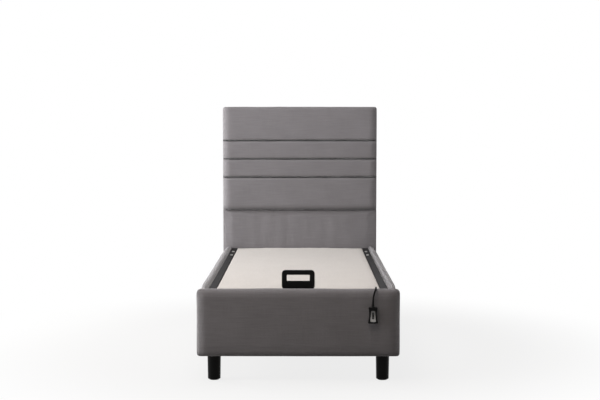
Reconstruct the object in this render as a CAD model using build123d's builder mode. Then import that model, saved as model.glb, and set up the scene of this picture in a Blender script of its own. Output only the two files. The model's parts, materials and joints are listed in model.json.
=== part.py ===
"""Upholstered lift-up bed base: a padded box on legs with a tall headboard, a steel-framed deck that a
motor drive swings up on two pairs of arms, and a corded handset that hangs over the foot panel.

Millimetres. +Z is up, +Y runs from the foot to the headboard, and the origin is on the floor under the
middle of the object."""

import os
from math import cos, pi, radians, sin, tan

from build123d import *

os.makedirs("parts", exist_ok=True)

# Whole base
base_width = 1000
base_length = 2000
box_height = 335

# Box panels: a board with foam and fabric over its outer face and its top edge
panel_depth = 50
board_thickness = 18
face_crown = 6
front_roll = 16
back_roll = 20
edge_padding = 32
end_padding = 10
fabric_lap = 3
corner_radius = 30
top_corner_radius = 24
bottom_corner_radius = 16

# Spare size of a shape that another one trims
trim_margin = 10
crown_margin = 1

# Storage floor
floor_thickness = 6
cleat_height = 28
cleat_width = 20
corner_block_side = 130
beam_width = 50
floor_gap = 1

# Legs
leg_height = 125
leg_top_diameter = 67
leg_foot_diameter = 63
leg_edge_round = 3
leg_inset_side = 80.5
leg_inset_end = 100
leg_plate_side = 60
glide_height = 4
glide_diameter = 46
stud_diameter = 10
stud_in_leg = 30
stud_in_block = 20

# Headboard
headboard_overhang = 4
headboard_height = 1249
step_height = 576
groove_heights = (787, 906, 1026)
groove_depth = 13
channel_round = 14
upper_pad_proud = 25
lower_pad_depth = 22
lower_pad_crown = 4
side_wrap = 12
headboard_corner_radius = 18
pad_corner_radius = 40
lower_corner_radius = 20
face_board_thickness = 6
stile_width = 62
stile_depth = 34
rail_piece_height = 60
back_panel_thickness = 4
headboard_bolt_diameter = 8
headboard_bolt_head = 16
headboard_bolt_head_height = 5
headboard_bolt_heights = (80, 190)
headboard_bolt_inset = 9

# Deck: tube frame, board and padded cover
side_gap = 3
foot_gap = 16
head_gap = 6
rail_drop = 12
rail_width = 38
rail_height = 40
rail_wall = 2
rail_corner = 4
cap_thickness = 3
cross_tube_width = 40
cross_tube_height = 20
cross_tube_wall = 1.5
cross_tube_count = 3
end_tube_inset = 60
deck_board_thickness = 10
deck_cover_thickness = 10
deck_crown = 3
deck_cover_gap = 1
deck_edge_round = 5

# Mattress stop: an upright loop on the foot edge of the deck
stop_width = 163
stop_height = 95
stop_thickness = 16
stop_window_width = 113
stop_window_height = 31
stop_top_bar = 23
stop_corner_radius = 18
stop_window_radius = 3
stop_edge_round = 3
stop_foot_depth = 34
stop_foot_thickness = 6
stop_screw_spacing = 52
stop_screw_diameter = 5
stop_screw_head = 10
stop_screw_head_height = 3
stop_screw_grip = 7

# Lift linkage: each pivot's distance from the headboard face and its drop below the deck rails
base_rear_pivot = (652, 167)
base_front_pivot = (800, 150.5)
deck_rear_pivot = (270.5, 39.5)
deck_front_pivot = (347.5, 22.5)
open_pivot_play = 4
arm_thickness = 6
arm_gap = 1.5
arm_root_radius = 20
arm_tip_radius = 16
base_pin_diameter = 16
deck_pin_diameter = 12
pin_clearance = 0.05
pin_head_diameter = 24
pin_head_height = 2.5
lift_plate_thickness = 5
lift_plate_overhang = 45
lift_plate_corner = 16
lift_plate_bolt_inset = 18
lift_bolt_diameter = 8
lift_bolt_head = 16
lift_bolt_head_height = 3
lift_bolt_length = 15
bracket_thickness = 5
bracket_gap = 2
bracket_flange_width = 30
bracket_bolt_distances = (230, 420)
bracket_end_margin = 25
bracket_bolt_diameter = 8
bracket_bolt_head = 16
bracket_bolt_head_height = 5
bracket_nut_diameter = 14
bracket_nut_height = 6
fastener_clearance = 0.2

# Drive: a housing that rides on the torque tube and on a fixed tube, and pushes a lever
torque_tube_diameter = 32
torque_tube_wall = 2.5
drive_tube_distance = 380
drive_width = 70
drive_tail = 34
drive_nose_wall = 18
drive_beam_bottom = 62
drive_beam_top = 118
drive_belly_bottom = -38
drive_belly_front = -120
drive_belly_back = -300
drive_jaw_half = 28
drive_jaw_bottom = -10
drive_jaw_clearance = 0.5
drive_corner = 8
lever_thickness = 16
lever_reach = 95
lever_nose_radius = 12
lever_neck_width = 14
lever_hub_radius = 26
lever_rest_angle = 24
slide_width = 40
slide_bottom = 77
slide_top = 112
slide_back = 90
slide_front = 26
slide_notch_clearance = 0.9
slide_clearance = 1
slide_travel = 78
motor_diameter = 64
motor_length = 95
motor_flange_length = 18
motor_flange_width = 7
motor_setback = -215
motor_level = 8
tube_socket_side = 60
tube_socket_thickness = 4
gland_diameter = 18
gland_length = 14
inlet_width = 30
inlet_height = 22
inlet_depth = 8
inlet_wall = 3
socket_level = 30
gland_setback = -160
inlet_setback = -250

# Rests under the foot end of the deck
rest_distance = 265
rest_length = 60
rest_width = 24
rest_height = 30
buffer_height = 6
buffer_play = 0.3

# Handset
handset_inset = 135
handset_drop = 85
handset_height = 79
handset_top_width = 46
handset_waist_width = 37
handset_foot_width = 52
handset_depth = 18
handset_back_depth = 8
handset_edge_round = 3
handset_corner = 4
handset_gap = 0.5
plate_top_width = 19
plate_foot_width = 27
plate_height = 54
plate_foot_level = 8
plate_thickness = 1.2
plate_corner = 4
button_width = 7
button_height = 12
button_levels = (47, 29)
button_rise = 1.5
button_travel = 1
button_depth = 3
button_clearance = 0.4
boot_foot_diameter = 14
boot_tip_diameter = 11
boot_height = 14

# Handset cord, from the handset over the foot panel to the drive; the points are chosen by hand
cord_diameter = 9
cord_route = (
    (365, -1032.5, 393),
    (365, -1032.5, 403),
    (379, -1032.5, 472),
    (383, -967, 472),
    (384, -966.5, 408),
    (378, -966, 300),
    (374, -960, 184),
    (369, -870, 171),
    (358, -760, 171),
    (336, -640, 171),
    (306, -520, 171),
    (284, -400, 171),
    (274, -270, 171),
    (272, -140, 171),
    (262, -12, 171),
    (244, 110, 171),
    (232, 235, 172),
    (221, 350, 176),
    (196, 440, 200),
    (128, 485, 275),
    (49, 485, 275),
)

# Levels and positions that follow from the sizes above
box_bottom = glide_height + leg_height
box_top = box_bottom + box_height
board_bottom = box_bottom + fabric_lap
board_top = box_top - edge_padding
half_width = base_width / 2
inner_half = half_width - panel_depth
headboard_width = base_width + 2 * headboard_overhang
headboard_depth = lower_pad_depth + face_board_thickness + stile_depth + back_panel_thickness
handset_reach = handset_gap + handset_depth + button_rise
foot_front = -(base_length + headboard_depth - handset_reach) / 2
foot_inner = foot_front + panel_depth
head_face = foot_front + base_length
side_length = head_face - foot_inner
side_middle = (head_face + foot_inner) / 2
floor_bottom = board_bottom + cleat_height
floor_top = floor_bottom + floor_thickness
rail_top = box_top - rail_drop
rail_bottom = rail_top - rail_height
rail_outer = inner_half - side_gap
rail_inner = rail_outer - rail_width
deck_foot = foot_inner + foot_gap
deck_head = head_face - head_gap
deck_length = deck_head - deck_foot
deck_middle = (deck_head + deck_foot) / 2
deck_board_bottom = rail_bottom + cross_tube_height
deck_board_top = deck_board_bottom + deck_board_thickness
deck_cover_edge = deck_board_top + deck_cover_thickness
deck_cover_top = deck_cover_edge + deck_crown
headboard_top = box_bottom + headboard_height
step_level = box_bottom + step_height
frame_half = headboard_width / 2 - side_wrap
frame_front = head_face + lower_pad_depth
frame_back = frame_front + face_board_thickness + stile_depth
sides = {"right": 1, "left": -1}


def from_head(pivot):
    """A pivot's place in the YZ plane."""
    return head_face - pivot[0], rail_bottom - pivot[1]


rear_root = from_head(base_rear_pivot)
front_root = from_head(base_front_pivot)
rear_tip = from_head(deck_rear_pivot)
front_tip = from_head(deck_front_pivot)

# Layers of the lift mechanism across the bed, from the side board inwards
plate_inner = inner_half - lift_plate_thickness
arm_outer = plate_inner - arm_gap
arm_inner = arm_outer - arm_thickness
bracket_outer = arm_inner - bracket_gap
bracket_inner = bracket_outer - bracket_thickness


def save(piece, name):
    """Name a finished piece and write it to its own file."""
    piece.part.label = name
    export_step(piece.part, f"parts/{name}.step")


def block(x_span, y_span, z_span):
    """A plain rectangular piece between the given limits."""
    with BuildPart() as piece:
        with Locations((sum(x_span) / 2, sum(y_span) / 2, sum(z_span) / 2)):
            Box(x_span[1] - x_span[0], y_span[1] - y_span[0], z_span[1] - z_span[0])
    return piece


def panel_cover(plane, length, board_length):
    """Foam and fabric of a box panel: crowned face, rolled top edge, and the board's space cut out.

    On the plane, X points out of the box from the panel's inner face and Y points up from its foot."""
    with BuildPart() as cover:
        with BuildSketch(plane) as profile:
            with BuildLine():
                edge = panel_depth - face_crown
                face = ThreePointArc((edge, 0), (panel_depth, box_height / 2), (edge, box_height))
                Polyline(face @ 1, (0, box_height), (0, 0), face @ 0)
            make_face()
            fillet(profile.vertices().group_by(Axis.Y)[-1].sort_by(Axis.X)[-1], front_roll)
            fillet(profile.vertices().group_by(Axis.Y)[-1].sort_by(Axis.X)[0], back_roll)
        extrude(amount=length / 2, both=True)
        with BuildSketch(plane):
            with Locations((0, fabric_lap)):
                Rectangle(board_thickness, board_top - board_bottom, align=(Align.MIN, Align.MIN))
        extrude(amount=board_length / 2, both=True, mode=Mode.SUBTRACT)
    return cover


# Foot panel
foot_plane = Plane((0, foot_inner, box_bottom), x_dir=(0, -1, 0), z_dir=(-1, 0, 0))
foot_board_half = half_width - end_padding
foot_panel_board = block(
    (-foot_board_half, foot_board_half), (foot_inner - board_thickness, foot_inner), (board_bottom, board_top)
)
save(foot_panel_board, "foot_panel_board")

foot_cover_whole = panel_cover(foot_plane, base_width + 2 * trim_margin, 2 * foot_board_half)
with BuildPart() as foot_panel_cover:
    add(foot_cover_whole.part)
    with BuildSketch(Plane.XY.offset(box_bottom - trim_margin)) as plan:
        with Locations((0, foot_front - crown_margin)):
            Rectangle(base_width, panel_depth + trim_margin, align=(Align.CENTER, Align.MIN))
        fillet(plan.vertices().group_by(Axis.Y)[0], corner_radius)
    extrude(amount=box_height + 2 * trim_margin, mode=Mode.INTERSECT)
    with BuildSketch(Plane.XZ.offset(-foot_inner - trim_margin)) as elevation:
        with Locations((0, box_bottom - crown_margin)):
            Rectangle(base_width, box_height + crown_margin, align=(Align.CENTER, Align.MIN))
        fillet(elevation.vertices().group_by(Axis.Y)[-1], top_corner_radius)
        fillet(elevation.vertices().group_by(Axis.Y)[0], bottom_corner_radius)
    extrude(amount=panel_depth + 2 * trim_margin, mode=Mode.INTERSECT)
save(foot_panel_cover, "foot_panel_cover")


# Box sides, with blind holes for the bolts of the lift plates and the sockets of the drive tube
plate_left = front_root[0] - lift_plate_overhang
plate_right = rear_root[0] + lift_plate_overhang
plate_bottom = rear_root[1] - lift_plate_overhang
plate_top = front_root[1] + lift_plate_overhang
plate_centre = ((plate_left + plate_right) / 2, (plate_bottom + plate_top) / 2)
plate_bolt_pitch = (
    plate_right - plate_left - 2 * lift_plate_bolt_inset,
    plate_top - plate_bottom - 2 * lift_plate_bolt_inset,
)

for name, side in sides.items():
    with BuildPart() as side_board:
        board_x = side * (inner_half + board_thickness / 2)
        with Locations((board_x, side_middle, (board_bottom + board_top) / 2)):
            Box(board_thickness, side_length, board_top - board_bottom)
        with BuildSketch(Plane.YZ.offset(side * inner_half)):
            with Locations(plate_centre):
                with GridLocations(*plate_bolt_pitch, 2, 2):
                    Circle(lift_bolt_diameter / 2 + fastener_clearance)
        extrude(amount=side * lift_bolt_length, mode=Mode.SUBTRACT)
    save(side_board, f"side_board_{name}")

    side_plane = Plane((side * inner_half, side_middle, box_bottom), x_dir=(side, 0, 0), z_dir=(0, -side, 0))
    side_cover = panel_cover(side_plane, side_length, side_length)
    save(side_cover, f"side_cover_{name}")

# Head end of the box, below the deck, with holes for the bolts that hold the headboard
headboard_bolt_x = inner_half - headboard_bolt_inset
headboard_bolt_points = [
    (side * headboard_bolt_x, box_bottom + height)
    for side in sides.values()
    for height in headboard_bolt_heights
]
headboard_bolt_hole = headboard_bolt_diameter / 2 + fastener_clearance
head_board_top = rail_bottom - head_gap

with BuildPart() as head_end_board:
    with Locations((0, head_face - board_thickness / 2, (board_bottom + head_board_top) / 2)):
        Box(2 * inner_half, board_thickness, head_board_top - board_bottom)
    with BuildSketch(Plane.XZ.offset(-head_face)):
        with Locations(*headboard_bolt_points):
            Circle(headboard_bolt_hole)
    extrude(amount=board_thickness, mode=Mode.SUBTRACT)
save(head_end_board, "head_end_board")

# Corner blocks that carry the legs, floor cleats, middle beam and the two floor panels
leg_x = half_width - leg_inset_side
leg_front_y = foot_front + leg_inset_end
leg_rear_y = head_face - leg_inset_end
leg_points = [(side * leg_x, y) for side in sides.values() for y in (leg_front_y, leg_rear_y)]
floor_head = head_face - board_thickness
block_x = inner_half - corner_block_side / 2
block_y = (foot_inner + corner_block_side / 2, floor_head - corner_block_side / 2)
cleat_middle = floor_bottom - cleat_height / 2
beam_middle = (foot_inner + floor_head) / 2

with BuildPart() as corner_blocks:
    with Locations(*[(side * block_x, y, cleat_middle) for side in sides.values() for y in block_y]):
        Box(corner_block_side, corner_block_side, cleat_height)
    with Locations(*[(x, y, board_bottom) for x, y in leg_points]):
        Cylinder(
            stud_diameter / 2 + fastener_clearance,
            stud_in_block,
            align=(Align.CENTER, Align.CENTER, Align.MIN),
            mode=Mode.SUBTRACT,
        )
save(corner_blocks, "corner_blocks")

side_cleat_length = (floor_head - foot_inner - beam_width) / 2 - corner_block_side
side_cleat_offset = (beam_width + side_cleat_length) / 2
end_cleat_length = 2 * (inner_half - corner_block_side)

with BuildPart() as floor_cleats:
    side_cleat_points = [
        (side * (inner_half - cleat_width / 2), beam_middle + end * side_cleat_offset, cleat_middle)
        for side in sides.values()
        for end in (-1, 1)
    ]
    with Locations(*side_cleat_points):
        Box(cleat_width, side_cleat_length, cleat_height)
    end_cleat_y = (foot_inner + cleat_width / 2, floor_head - cleat_width / 2)
    with Locations(*[(0, y, cleat_middle) for y in end_cleat_y]):
        Box(end_cleat_length, cleat_width, cleat_height)
save(floor_cleats, "floor_cleats")

floor_beam = block(
    (-inner_half, inner_half),
    (beam_middle - beam_width / 2, beam_middle + beam_width / 2),
    (board_bottom, floor_bottom),
)
save(floor_beam, "floor_beam")

floor_half = inner_half - floor_gap
storage_floor_front = block(
    (-floor_half, floor_half), (foot_inner + floor_gap, beam_middle - floor_gap), (floor_bottom, floor_top)
)
save(storage_floor_front, "storage_floor_front")
storage_floor_rear = block(
    (-floor_half, floor_half), (beam_middle + floor_gap, floor_head - floor_gap), (floor_bottom, floor_top)
)
save(storage_floor_rear, "storage_floor_rear")

# Legs: turned, slightly tapered, each on a plate and a stud, with a glide below
with BuildPart() as legs:
    for x, y in leg_points:
        with BuildSketch(Plane((x, y, glide_height), x_dir=(1, 0, 0), z_dir=(0, -1, 0))) as half_section:
            with BuildLine():
                Polyline(
                    (0, 0),
                    (leg_foot_diameter / 2, 0),
                    (leg_top_diameter / 2, leg_height),
                    (0, leg_height),
                    close=True,
                )
            make_face()
            fillet(half_section.vertices().sort_by(Axis.X)[-2:], leg_edge_round)
        revolve(axis=Axis((x, y, 0), (0, 0, 1)))
    with Locations(*[(x, y, box_bottom) for x, y in leg_points]):
        Cylinder(
            stud_diameter / 2 + fastener_clearance,
            stud_in_leg,
            align=(Align.CENTER, Align.CENTER, Align.MAX),
            mode=Mode.SUBTRACT,
        )
save(legs, "legs")

with BuildPart() as leg_glides:
    with BuildSketch(Plane.XY):
        with Locations(*leg_points):
            Circle(glide_diameter / 2)
    extrude(amount=glide_height)
save(leg_glides, "leg_glides")

with BuildPart() as leg_plates:
    with BuildSketch(Plane.XY.offset(box_bottom)):
        with Locations(*leg_points):
            RectangleRounded(leg_plate_side, leg_plate_side, leg_edge_round)
            Circle(stud_diameter / 2 + fastener_clearance, mode=Mode.SUBTRACT)
    extrude(amount=fabric_lap)
save(leg_plates, "leg_plates")

with BuildPart() as leg_studs:
    with BuildSketch(Plane.XY.offset(box_bottom - stud_in_leg)):
        with Locations(*leg_points):
            Circle(stud_diameter / 2)
    extrude(amount=stud_in_leg + fabric_lap + stud_in_block)
save(leg_studs, "leg_studs")

# Headboard frame: stiles, rails, face board and back panel
stile_middle = frame_half - stile_width / 2
stile_front = frame_front + face_board_thickness
frame_top = headboard_top - side_wrap
stile_height = frame_top - box_bottom

rail_piece_length = 2 * (frame_half - stile_width)
rail_piece_levels = (
    box_bottom + rail_piece_height / 2,
    step_level,
    frame_top - rail_piece_height / 2,
)
frame_middle = stile_front + stile_depth / 2

with BuildPart() as headboard_stiles:
    stile_level = box_bottom + stile_height / 2
    with Locations(*[(side * stile_middle, frame_middle, stile_level) for side in sides.values()]):
        Box(stile_width, stile_depth, stile_height)
    with BuildSketch(Plane.XZ.offset(-stile_front)):
        with Locations(*headboard_bolt_points):
            Circle(headboard_bolt_hole)
    extrude(amount=-stile_depth / 2, mode=Mode.SUBTRACT)
with BuildPart() as headboard_rails:
    with Locations(*[(0, frame_middle, level) for level in rail_piece_levels]):
        Box(rail_piece_length, stile_depth, rail_piece_height)
save(headboard_stiles, "headboard_stiles")
save(headboard_rails, "headboard_rails")

with BuildPart() as headboard_face_board:
    with Locations((0, frame_front + face_board_thickness / 2, box_bottom + stile_height / 2)):
        Box(2 * frame_half, face_board_thickness, stile_height)
    with BuildSketch(Plane.XZ.offset(-frame_front)):
        with Locations(*headboard_bolt_points):
            Circle(headboard_bolt_hole)
    extrude(amount=-face_board_thickness, mode=Mode.SUBTRACT)
save(headboard_face_board, "headboard_face_board")

with BuildPart() as headboard_back_panel:
    with BuildSketch(Plane.XZ.offset(-frame_back)) as outline:
        with Locations((0, box_bottom)):
            Rectangle(headboard_width, headboard_height, align=(Align.CENTER, Align.MIN))
        fillet(outline.vertices().group_by(Axis.Y)[-1], headboard_corner_radius)
    extrude(amount=-back_panel_thickness)
save(headboard_back_panel, "headboard_back_panel")

# Headboard upper pad: four channels, crowned between sewn grooves, that stand proud of the lower pad
pad_front = head_face - upper_pad_proud
channel_levels = (step_level, *[box_bottom + height for height in groove_heights], headboard_top)
pad_depth = frame_back - pad_front

with BuildPart() as headboard_upper_pad:
    with BuildSketch(Plane.YZ) as profile:
        with BuildLine():
            groove = pad_front + groove_depth
            for low, high in zip(channel_levels, channel_levels[1:]):
                ThreePointArc((groove, low), (pad_front, (low + high) / 2), (groove, high))
            rear = frame_back + trim_margin
            Polyline((groove, headboard_top), (rear, headboard_top), (rear, step_level), (groove, step_level))
        make_face()
        fillet(profile.vertices().group_by(Axis.Y)[0].sort_by(Axis.X)[0], channel_round)
        fillet(profile.vertices().group_by(Axis.Y)[-1].sort_by(Axis.X)[0], channel_round)
    extrude(amount=headboard_width / 2 + trim_margin, both=True)
    with BuildSketch(Plane.XY.offset(step_level - trim_margin)) as plan:
        with Locations((0, pad_front - crown_margin)):
            Rectangle(headboard_width, pad_depth + crown_margin, align=(Align.CENTER, Align.MIN))
        fillet(plan.vertices().group_by(Axis.Y)[0], pad_corner_radius)
    extrude(amount=headboard_top - step_level + 2 * trim_margin, mode=Mode.INTERSECT)
    with BuildSketch(Plane.XZ.offset(-frame_back - trim_margin)) as elevation:
        with Locations((0, step_level - trim_margin)):
            Rectangle(
                headboard_width, headboard_top - step_level + trim_margin, align=(Align.CENTER, Align.MIN)
            )
        fillet(elevation.vertices().group_by(Axis.Y)[-1], headboard_corner_radius)
    extrude(amount=pad_depth + 2 * trim_margin, mode=Mode.INTERSECT)
    with BuildSketch(Plane.XZ.offset(-frame_back)):
        with Locations((0, step_level)):
            Rectangle(2 * frame_half, frame_top - step_level, align=(Align.CENTER, Align.MIN))
    extrude(amount=frame_back - frame_front, mode=Mode.SUBTRACT)
save(headboard_upper_pad, "headboard_upper_pad")

with BuildPart() as headboard_lower_pad:
    with BuildSketch(Plane.YZ):
        with BuildLine():
            edge = head_face + lower_pad_crown
            rear = frame_back + trim_margin
            middle = (head_face, box_bottom + step_height / 2)
            face = ThreePointArc((edge, box_bottom), middle, (edge, step_level))
            Polyline(face @ 1, (rear, step_level), (rear, box_bottom), face @ 0)
        make_face()
    extrude(amount=headboard_width / 2 + trim_margin, both=True)
    with BuildSketch(Plane.XY.offset(box_bottom - trim_margin)) as plan:
        with Locations((0, frame_back)):
            Rectangle(headboard_width, frame_back - head_face + crown_margin, align=(Align.CENTER, Align.MAX))
        fillet(plan.vertices().group_by(Axis.Y)[0], lower_corner_radius)
    extrude(amount=step_height + 2 * trim_margin, mode=Mode.INTERSECT)
    with BuildSketch(Plane.XZ.offset(-frame_back)):
        with Locations((0, box_bottom)):
            Rectangle(2 * frame_half, step_height, align=(Align.CENTER, Align.MIN))
    extrude(amount=frame_back - frame_front, mode=Mode.SUBTRACT)
    with BuildSketch(Plane.XZ.offset(-head_face)):
        with Locations(*headboard_bolt_points):
            Circle(headboard_bolt_hole)
    extrude(amount=-lower_pad_depth, mode=Mode.SUBTRACT)
save(headboard_lower_pad, "headboard_lower_pad")

headboard_bolt_reach = lower_pad_depth + face_board_thickness + stile_depth / 2
with BuildPart() as headboard_bolts:
    with BuildSketch(Plane.XZ.offset(board_thickness - head_face)):
        with Locations(*headboard_bolt_points):
            Circle(headboard_bolt_head / 2)
    extrude(amount=headboard_bolt_head_height)
    with BuildSketch(Plane.XZ.offset(board_thickness - head_face)):
        with Locations(*headboard_bolt_points):
            Circle(headboard_bolt_diameter / 2)
    extrude(amount=-(board_thickness + headboard_bolt_reach))
save(headboard_bolts, "headboard_bolts")

# Lift plates on the box sides, with their bolts and the fixed pivots of the arms
with BuildPart() as lift_plates:
    for side in sides.values():
        with BuildSketch(Plane.YZ.offset(side * plate_inner)):
            with Locations(plate_centre):
                RectangleRounded(plate_right - plate_left, plate_top - plate_bottom, lift_plate_corner)
                with GridLocations(*plate_bolt_pitch, 2, 2):
                    Circle(lift_bolt_diameter / 2 + fastener_clearance, mode=Mode.SUBTRACT)
            with Locations(rear_root, front_root):
                Circle(base_pin_diameter / 2 + pin_clearance, mode=Mode.SUBTRACT)
        extrude(amount=side * lift_plate_thickness)
        with BuildSketch(Plane.YZ.offset(side * plate_inner)):
            with Locations(plate_centre):
                with GridLocations(*plate_bolt_pitch, 2, 2):
                    Circle(lift_bolt_head / 2 + fastener_clearance)
        extrude(amount=side * lift_bolt_head_height, mode=Mode.SUBTRACT)
save(lift_plates, "lift_plates")

with BuildPart() as lift_plate_bolts:
    for side in sides.values():
        with BuildSketch(Plane.YZ.offset(side * plate_inner)):
            with Locations(plate_centre):
                with GridLocations(*plate_bolt_pitch, 2, 2):
                    Circle(lift_bolt_head / 2)
        extrude(amount=side * lift_bolt_head_height)
        with BuildSketch(Plane.YZ.offset(side * plate_inner)):
            with Locations(plate_centre):
                with GridLocations(*plate_bolt_pitch, 2, 2):
                    Circle(lift_bolt_diameter / 2)
        extrude(amount=side * (lift_plate_thickness + lift_bolt_length))
save(lift_plate_bolts, "lift_plate_bolts")


def cross_pins(place, steps, chosen_sides=tuple(sides.values())):
    """Turned pins along X at one place: each step is its two distances from the middle and its diameter."""
    with BuildPart() as pins:
        for side in chosen_sides:
            for inner, outer, diameter in steps:
                with BuildSketch(Plane.YZ.offset(side * inner)):
                    with Locations(place):
                        Circle(diameter / 2)
                extrude(amount=side * (outer - inner))
    return pins


rear_pivots = cross_pins(
    rear_root, [(arm_inner, inner_half, base_pin_diameter), (arm_outer, plate_inner, pin_head_diameter)]
)
front_pivots = cross_pins(
    front_root,
    [
        (arm_inner - pin_head_height, arm_inner, pin_head_diameter),
        (arm_inner, inner_half, base_pin_diameter),
        (arm_outer, plate_inner, pin_head_diameter),
    ],
)
with BuildPart() as arm_pivots:
    add(rear_pivots.part)
    add(front_pivots.part)
save(arm_pivots, "arm_pivots")


# Arms: tapered flat links between the box and the deck
def arm(side, root, tip, root_hole, tip_hole):
    """One arm with its two pivot holes."""
    with BuildPart() as link:
        with BuildSketch(Plane.YZ.offset(side * arm_inner)):
            with Locations(root):
                Circle(arm_root_radius)
            with Locations(tip):
                Circle(arm_tip_radius)
            make_hull()
            with Locations(root):
                Circle(root_hole, mode=Mode.SUBTRACT)
            with Locations(tip):
                Circle(tip_hole, mode=Mode.SUBTRACT)
        extrude(amount=side * arm_thickness)
    return link


root_hole = base_pin_diameter / 2 + pin_clearance
tip_hole = deck_pin_diameter / 2 + pin_clearance
bracket_hole = deck_pin_diameter / 2 + pin_clearance
open_hole = deck_pin_diameter / 2 + open_pivot_play
washer_diameter = 2 * open_hole + 2 * open_pivot_play
washer_outer = bracket_inner - fastener_clearance
washer_inner = washer_outer - pin_head_height

right_arm = arm(1, rear_root, rear_tip, root_hole, tip_hole)
left_arm = arm(-1, rear_root, rear_tip, root_hole, tip_hole)
with BuildPart() as rear_arms:
    add(right_arm.part)
    add(left_arm.part)
save(rear_arms, "rear_arms")

for name, side in sides.items():
    front_arm = arm(side, front_root, front_tip, root_hole, tip_hole)
    save(front_arm, f"front_arm_{name}")
    front_arm_stud = cross_pins(
        front_tip,
        [
            (arm_outer, arm_outer + pin_head_height, pin_head_diameter),
            (washer_inner, arm_outer, deck_pin_diameter),
            (washer_inner, washer_outer, washer_diameter),
        ],
        (side,),
    )
    save(front_arm_stud, f"front_arm_stud_{name}")

# Torque tube that joins the rear arms, and the lever that the drive pushes
with BuildPart() as torque_tube:
    with BuildSketch(Plane.YZ.offset(-arm_inner)):
        with Locations(rear_root):
            Circle(torque_tube_diameter / 2)
            Circle(torque_tube_diameter / 2 - torque_tube_wall, mode=Mode.SUBTRACT)
    extrude(amount=2 * arm_inner)
save(torque_tube, "torque_tube")

lever_nose = (
    rear_root[0] + lever_reach * sin(radians(lever_rest_angle)),
    rear_root[1] + lever_reach * cos(radians(lever_rest_angle)),
)
with BuildPart() as lift_lever:
    with BuildSketch(Plane.YZ):
        with Locations(rear_root):
            Circle(lever_hub_radius)
        with Locations(lever_nose):
            Circle(lever_nose_radius)
        with Locations(((rear_root[0] + lever_nose[0]) / 2, (rear_root[1] + lever_nose[1]) / 2)):
            Rectangle(lever_neck_width, lever_reach, rotation=-lever_rest_angle)
        with Locations(rear_root):
            Circle(torque_tube_diameter / 2, mode=Mode.SUBTRACT)
    extrude(amount=lever_thickness / 2, both=True)
save(lift_lever, "lift_lever")


# Drive housing: beam over the two tubes, belly for gears and electronics, jaws round the tubes
def on_drive(forward, up):
    """A place beside the torque tube: forward is towards the foot, both from the tube's axis."""
    return rear_root[0] - forward, rear_root[1] + up


drive_tube_place = on_drive(-drive_tube_distance, 0)
drive_half = drive_width / 2
slide_half = slide_width / 2
jaw_hole = torque_tube_diameter / 2 + drive_jaw_clearance
beam_back = -drive_tube_distance - drive_tail
notch_place = lever_reach * -sin(radians(lever_rest_angle))
channel_back = notch_place - slide_back - slide_clearance
drive_nose = notch_place + slide_front + slide_travel + drive_nose_wall

with BuildPart() as drive_housing:
    with BuildSketch(Plane.YZ):
        with BuildLine():
            Polyline(
                on_drive(beam_back, drive_beam_top),
                on_drive(drive_nose, drive_beam_top),
                on_drive(drive_nose, drive_beam_bottom),
                on_drive(drive_jaw_half, drive_beam_bottom),
                on_drive(drive_jaw_half, drive_jaw_bottom),
                on_drive(-drive_jaw_half, drive_jaw_bottom),
                on_drive(-drive_jaw_half, drive_beam_bottom),
                on_drive(drive_belly_front, drive_beam_bottom),
                on_drive(drive_belly_front, drive_belly_bottom),
                on_drive(drive_belly_back, drive_belly_bottom),
                on_drive(drive_belly_back, drive_beam_bottom),
                on_drive(drive_jaw_half - drive_tube_distance, drive_beam_bottom),
                on_drive(drive_jaw_half - drive_tube_distance, drive_jaw_bottom),
                on_drive(-drive_jaw_half - drive_tube_distance, drive_jaw_bottom),
                close=True,
            )
        make_face()
    extrude(amount=drive_half, both=True)
    top_edges = drive_housing.faces().sort_by(Axis.Z)[-1].edges()
    fillet(top_edges, drive_corner)
    with BuildSketch(Plane.YZ):
        with Locations(rear_root, drive_tube_place):
            Circle(jaw_hole)
            Rectangle(2 * jaw_hole, 2 * jaw_hole, align=(Align.CENTER, Align.MAX))
    extrude(amount=drive_half, both=True, mode=Mode.SUBTRACT)
    with BuildSketch(Plane.YZ):
        with BuildLine():
            Polyline(
                on_drive(channel_back, slide_top + slide_clearance),
                on_drive(drive_nose, slide_top + slide_clearance),
                on_drive(drive_nose, drive_jaw_bottom),
                on_drive(channel_back, drive_jaw_bottom),
                close=True,
            )
        make_face()
    extrude(amount=slide_half + slide_clearance, both=True, mode=Mode.SUBTRACT)
save(drive_housing, "drive_housing")

# Push slide inside the housing's channel, notched over the lever's nose
notch_half = lever_nose_radius + slide_notch_clearance
with BuildPart() as drive_slide:
    with BuildSketch(Plane.YZ):
        with BuildLine():
            Polyline(
                on_drive(notch_place - slide_back, slide_bottom),
                on_drive(notch_place - slide_back, slide_top),
                on_drive(notch_place + slide_front, slide_top),
                on_drive(notch_place + slide_front, slide_bottom),
                close=True,
            )
        make_face()
    extrude(amount=slide_half, both=True)
    with BuildSketch(Plane.YZ):
        with Locations(on_drive(notch_place, slide_bottom)):
            Rectangle(2 * notch_half, 2 * (slide_top - slide_bottom))
    extrude(amount=lever_thickness / 2 + slide_clearance, both=True, mode=Mode.SUBTRACT)
save(drive_slide, "drive_slide")

# Motor on the housing's left cheek
motor_place = on_drive(motor_setback, motor_level)
with BuildPart() as drive_motor:
    with BuildSketch(Plane.YZ.offset(-drive_half)):
        with Locations(motor_place):
            Circle(motor_diameter / 2)
    extrude(amount=-motor_length)
    fillet(drive_motor.faces().sort_by(Axis.X)[0].edges(), drive_corner)
    with BuildSketch(Plane.YZ.offset(-drive_half)):
        with Locations(motor_place):
            Circle(motor_diameter / 2 + motor_flange_width)
    extrude(amount=-motor_flange_length)
save(drive_motor, "drive_motor")

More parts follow.
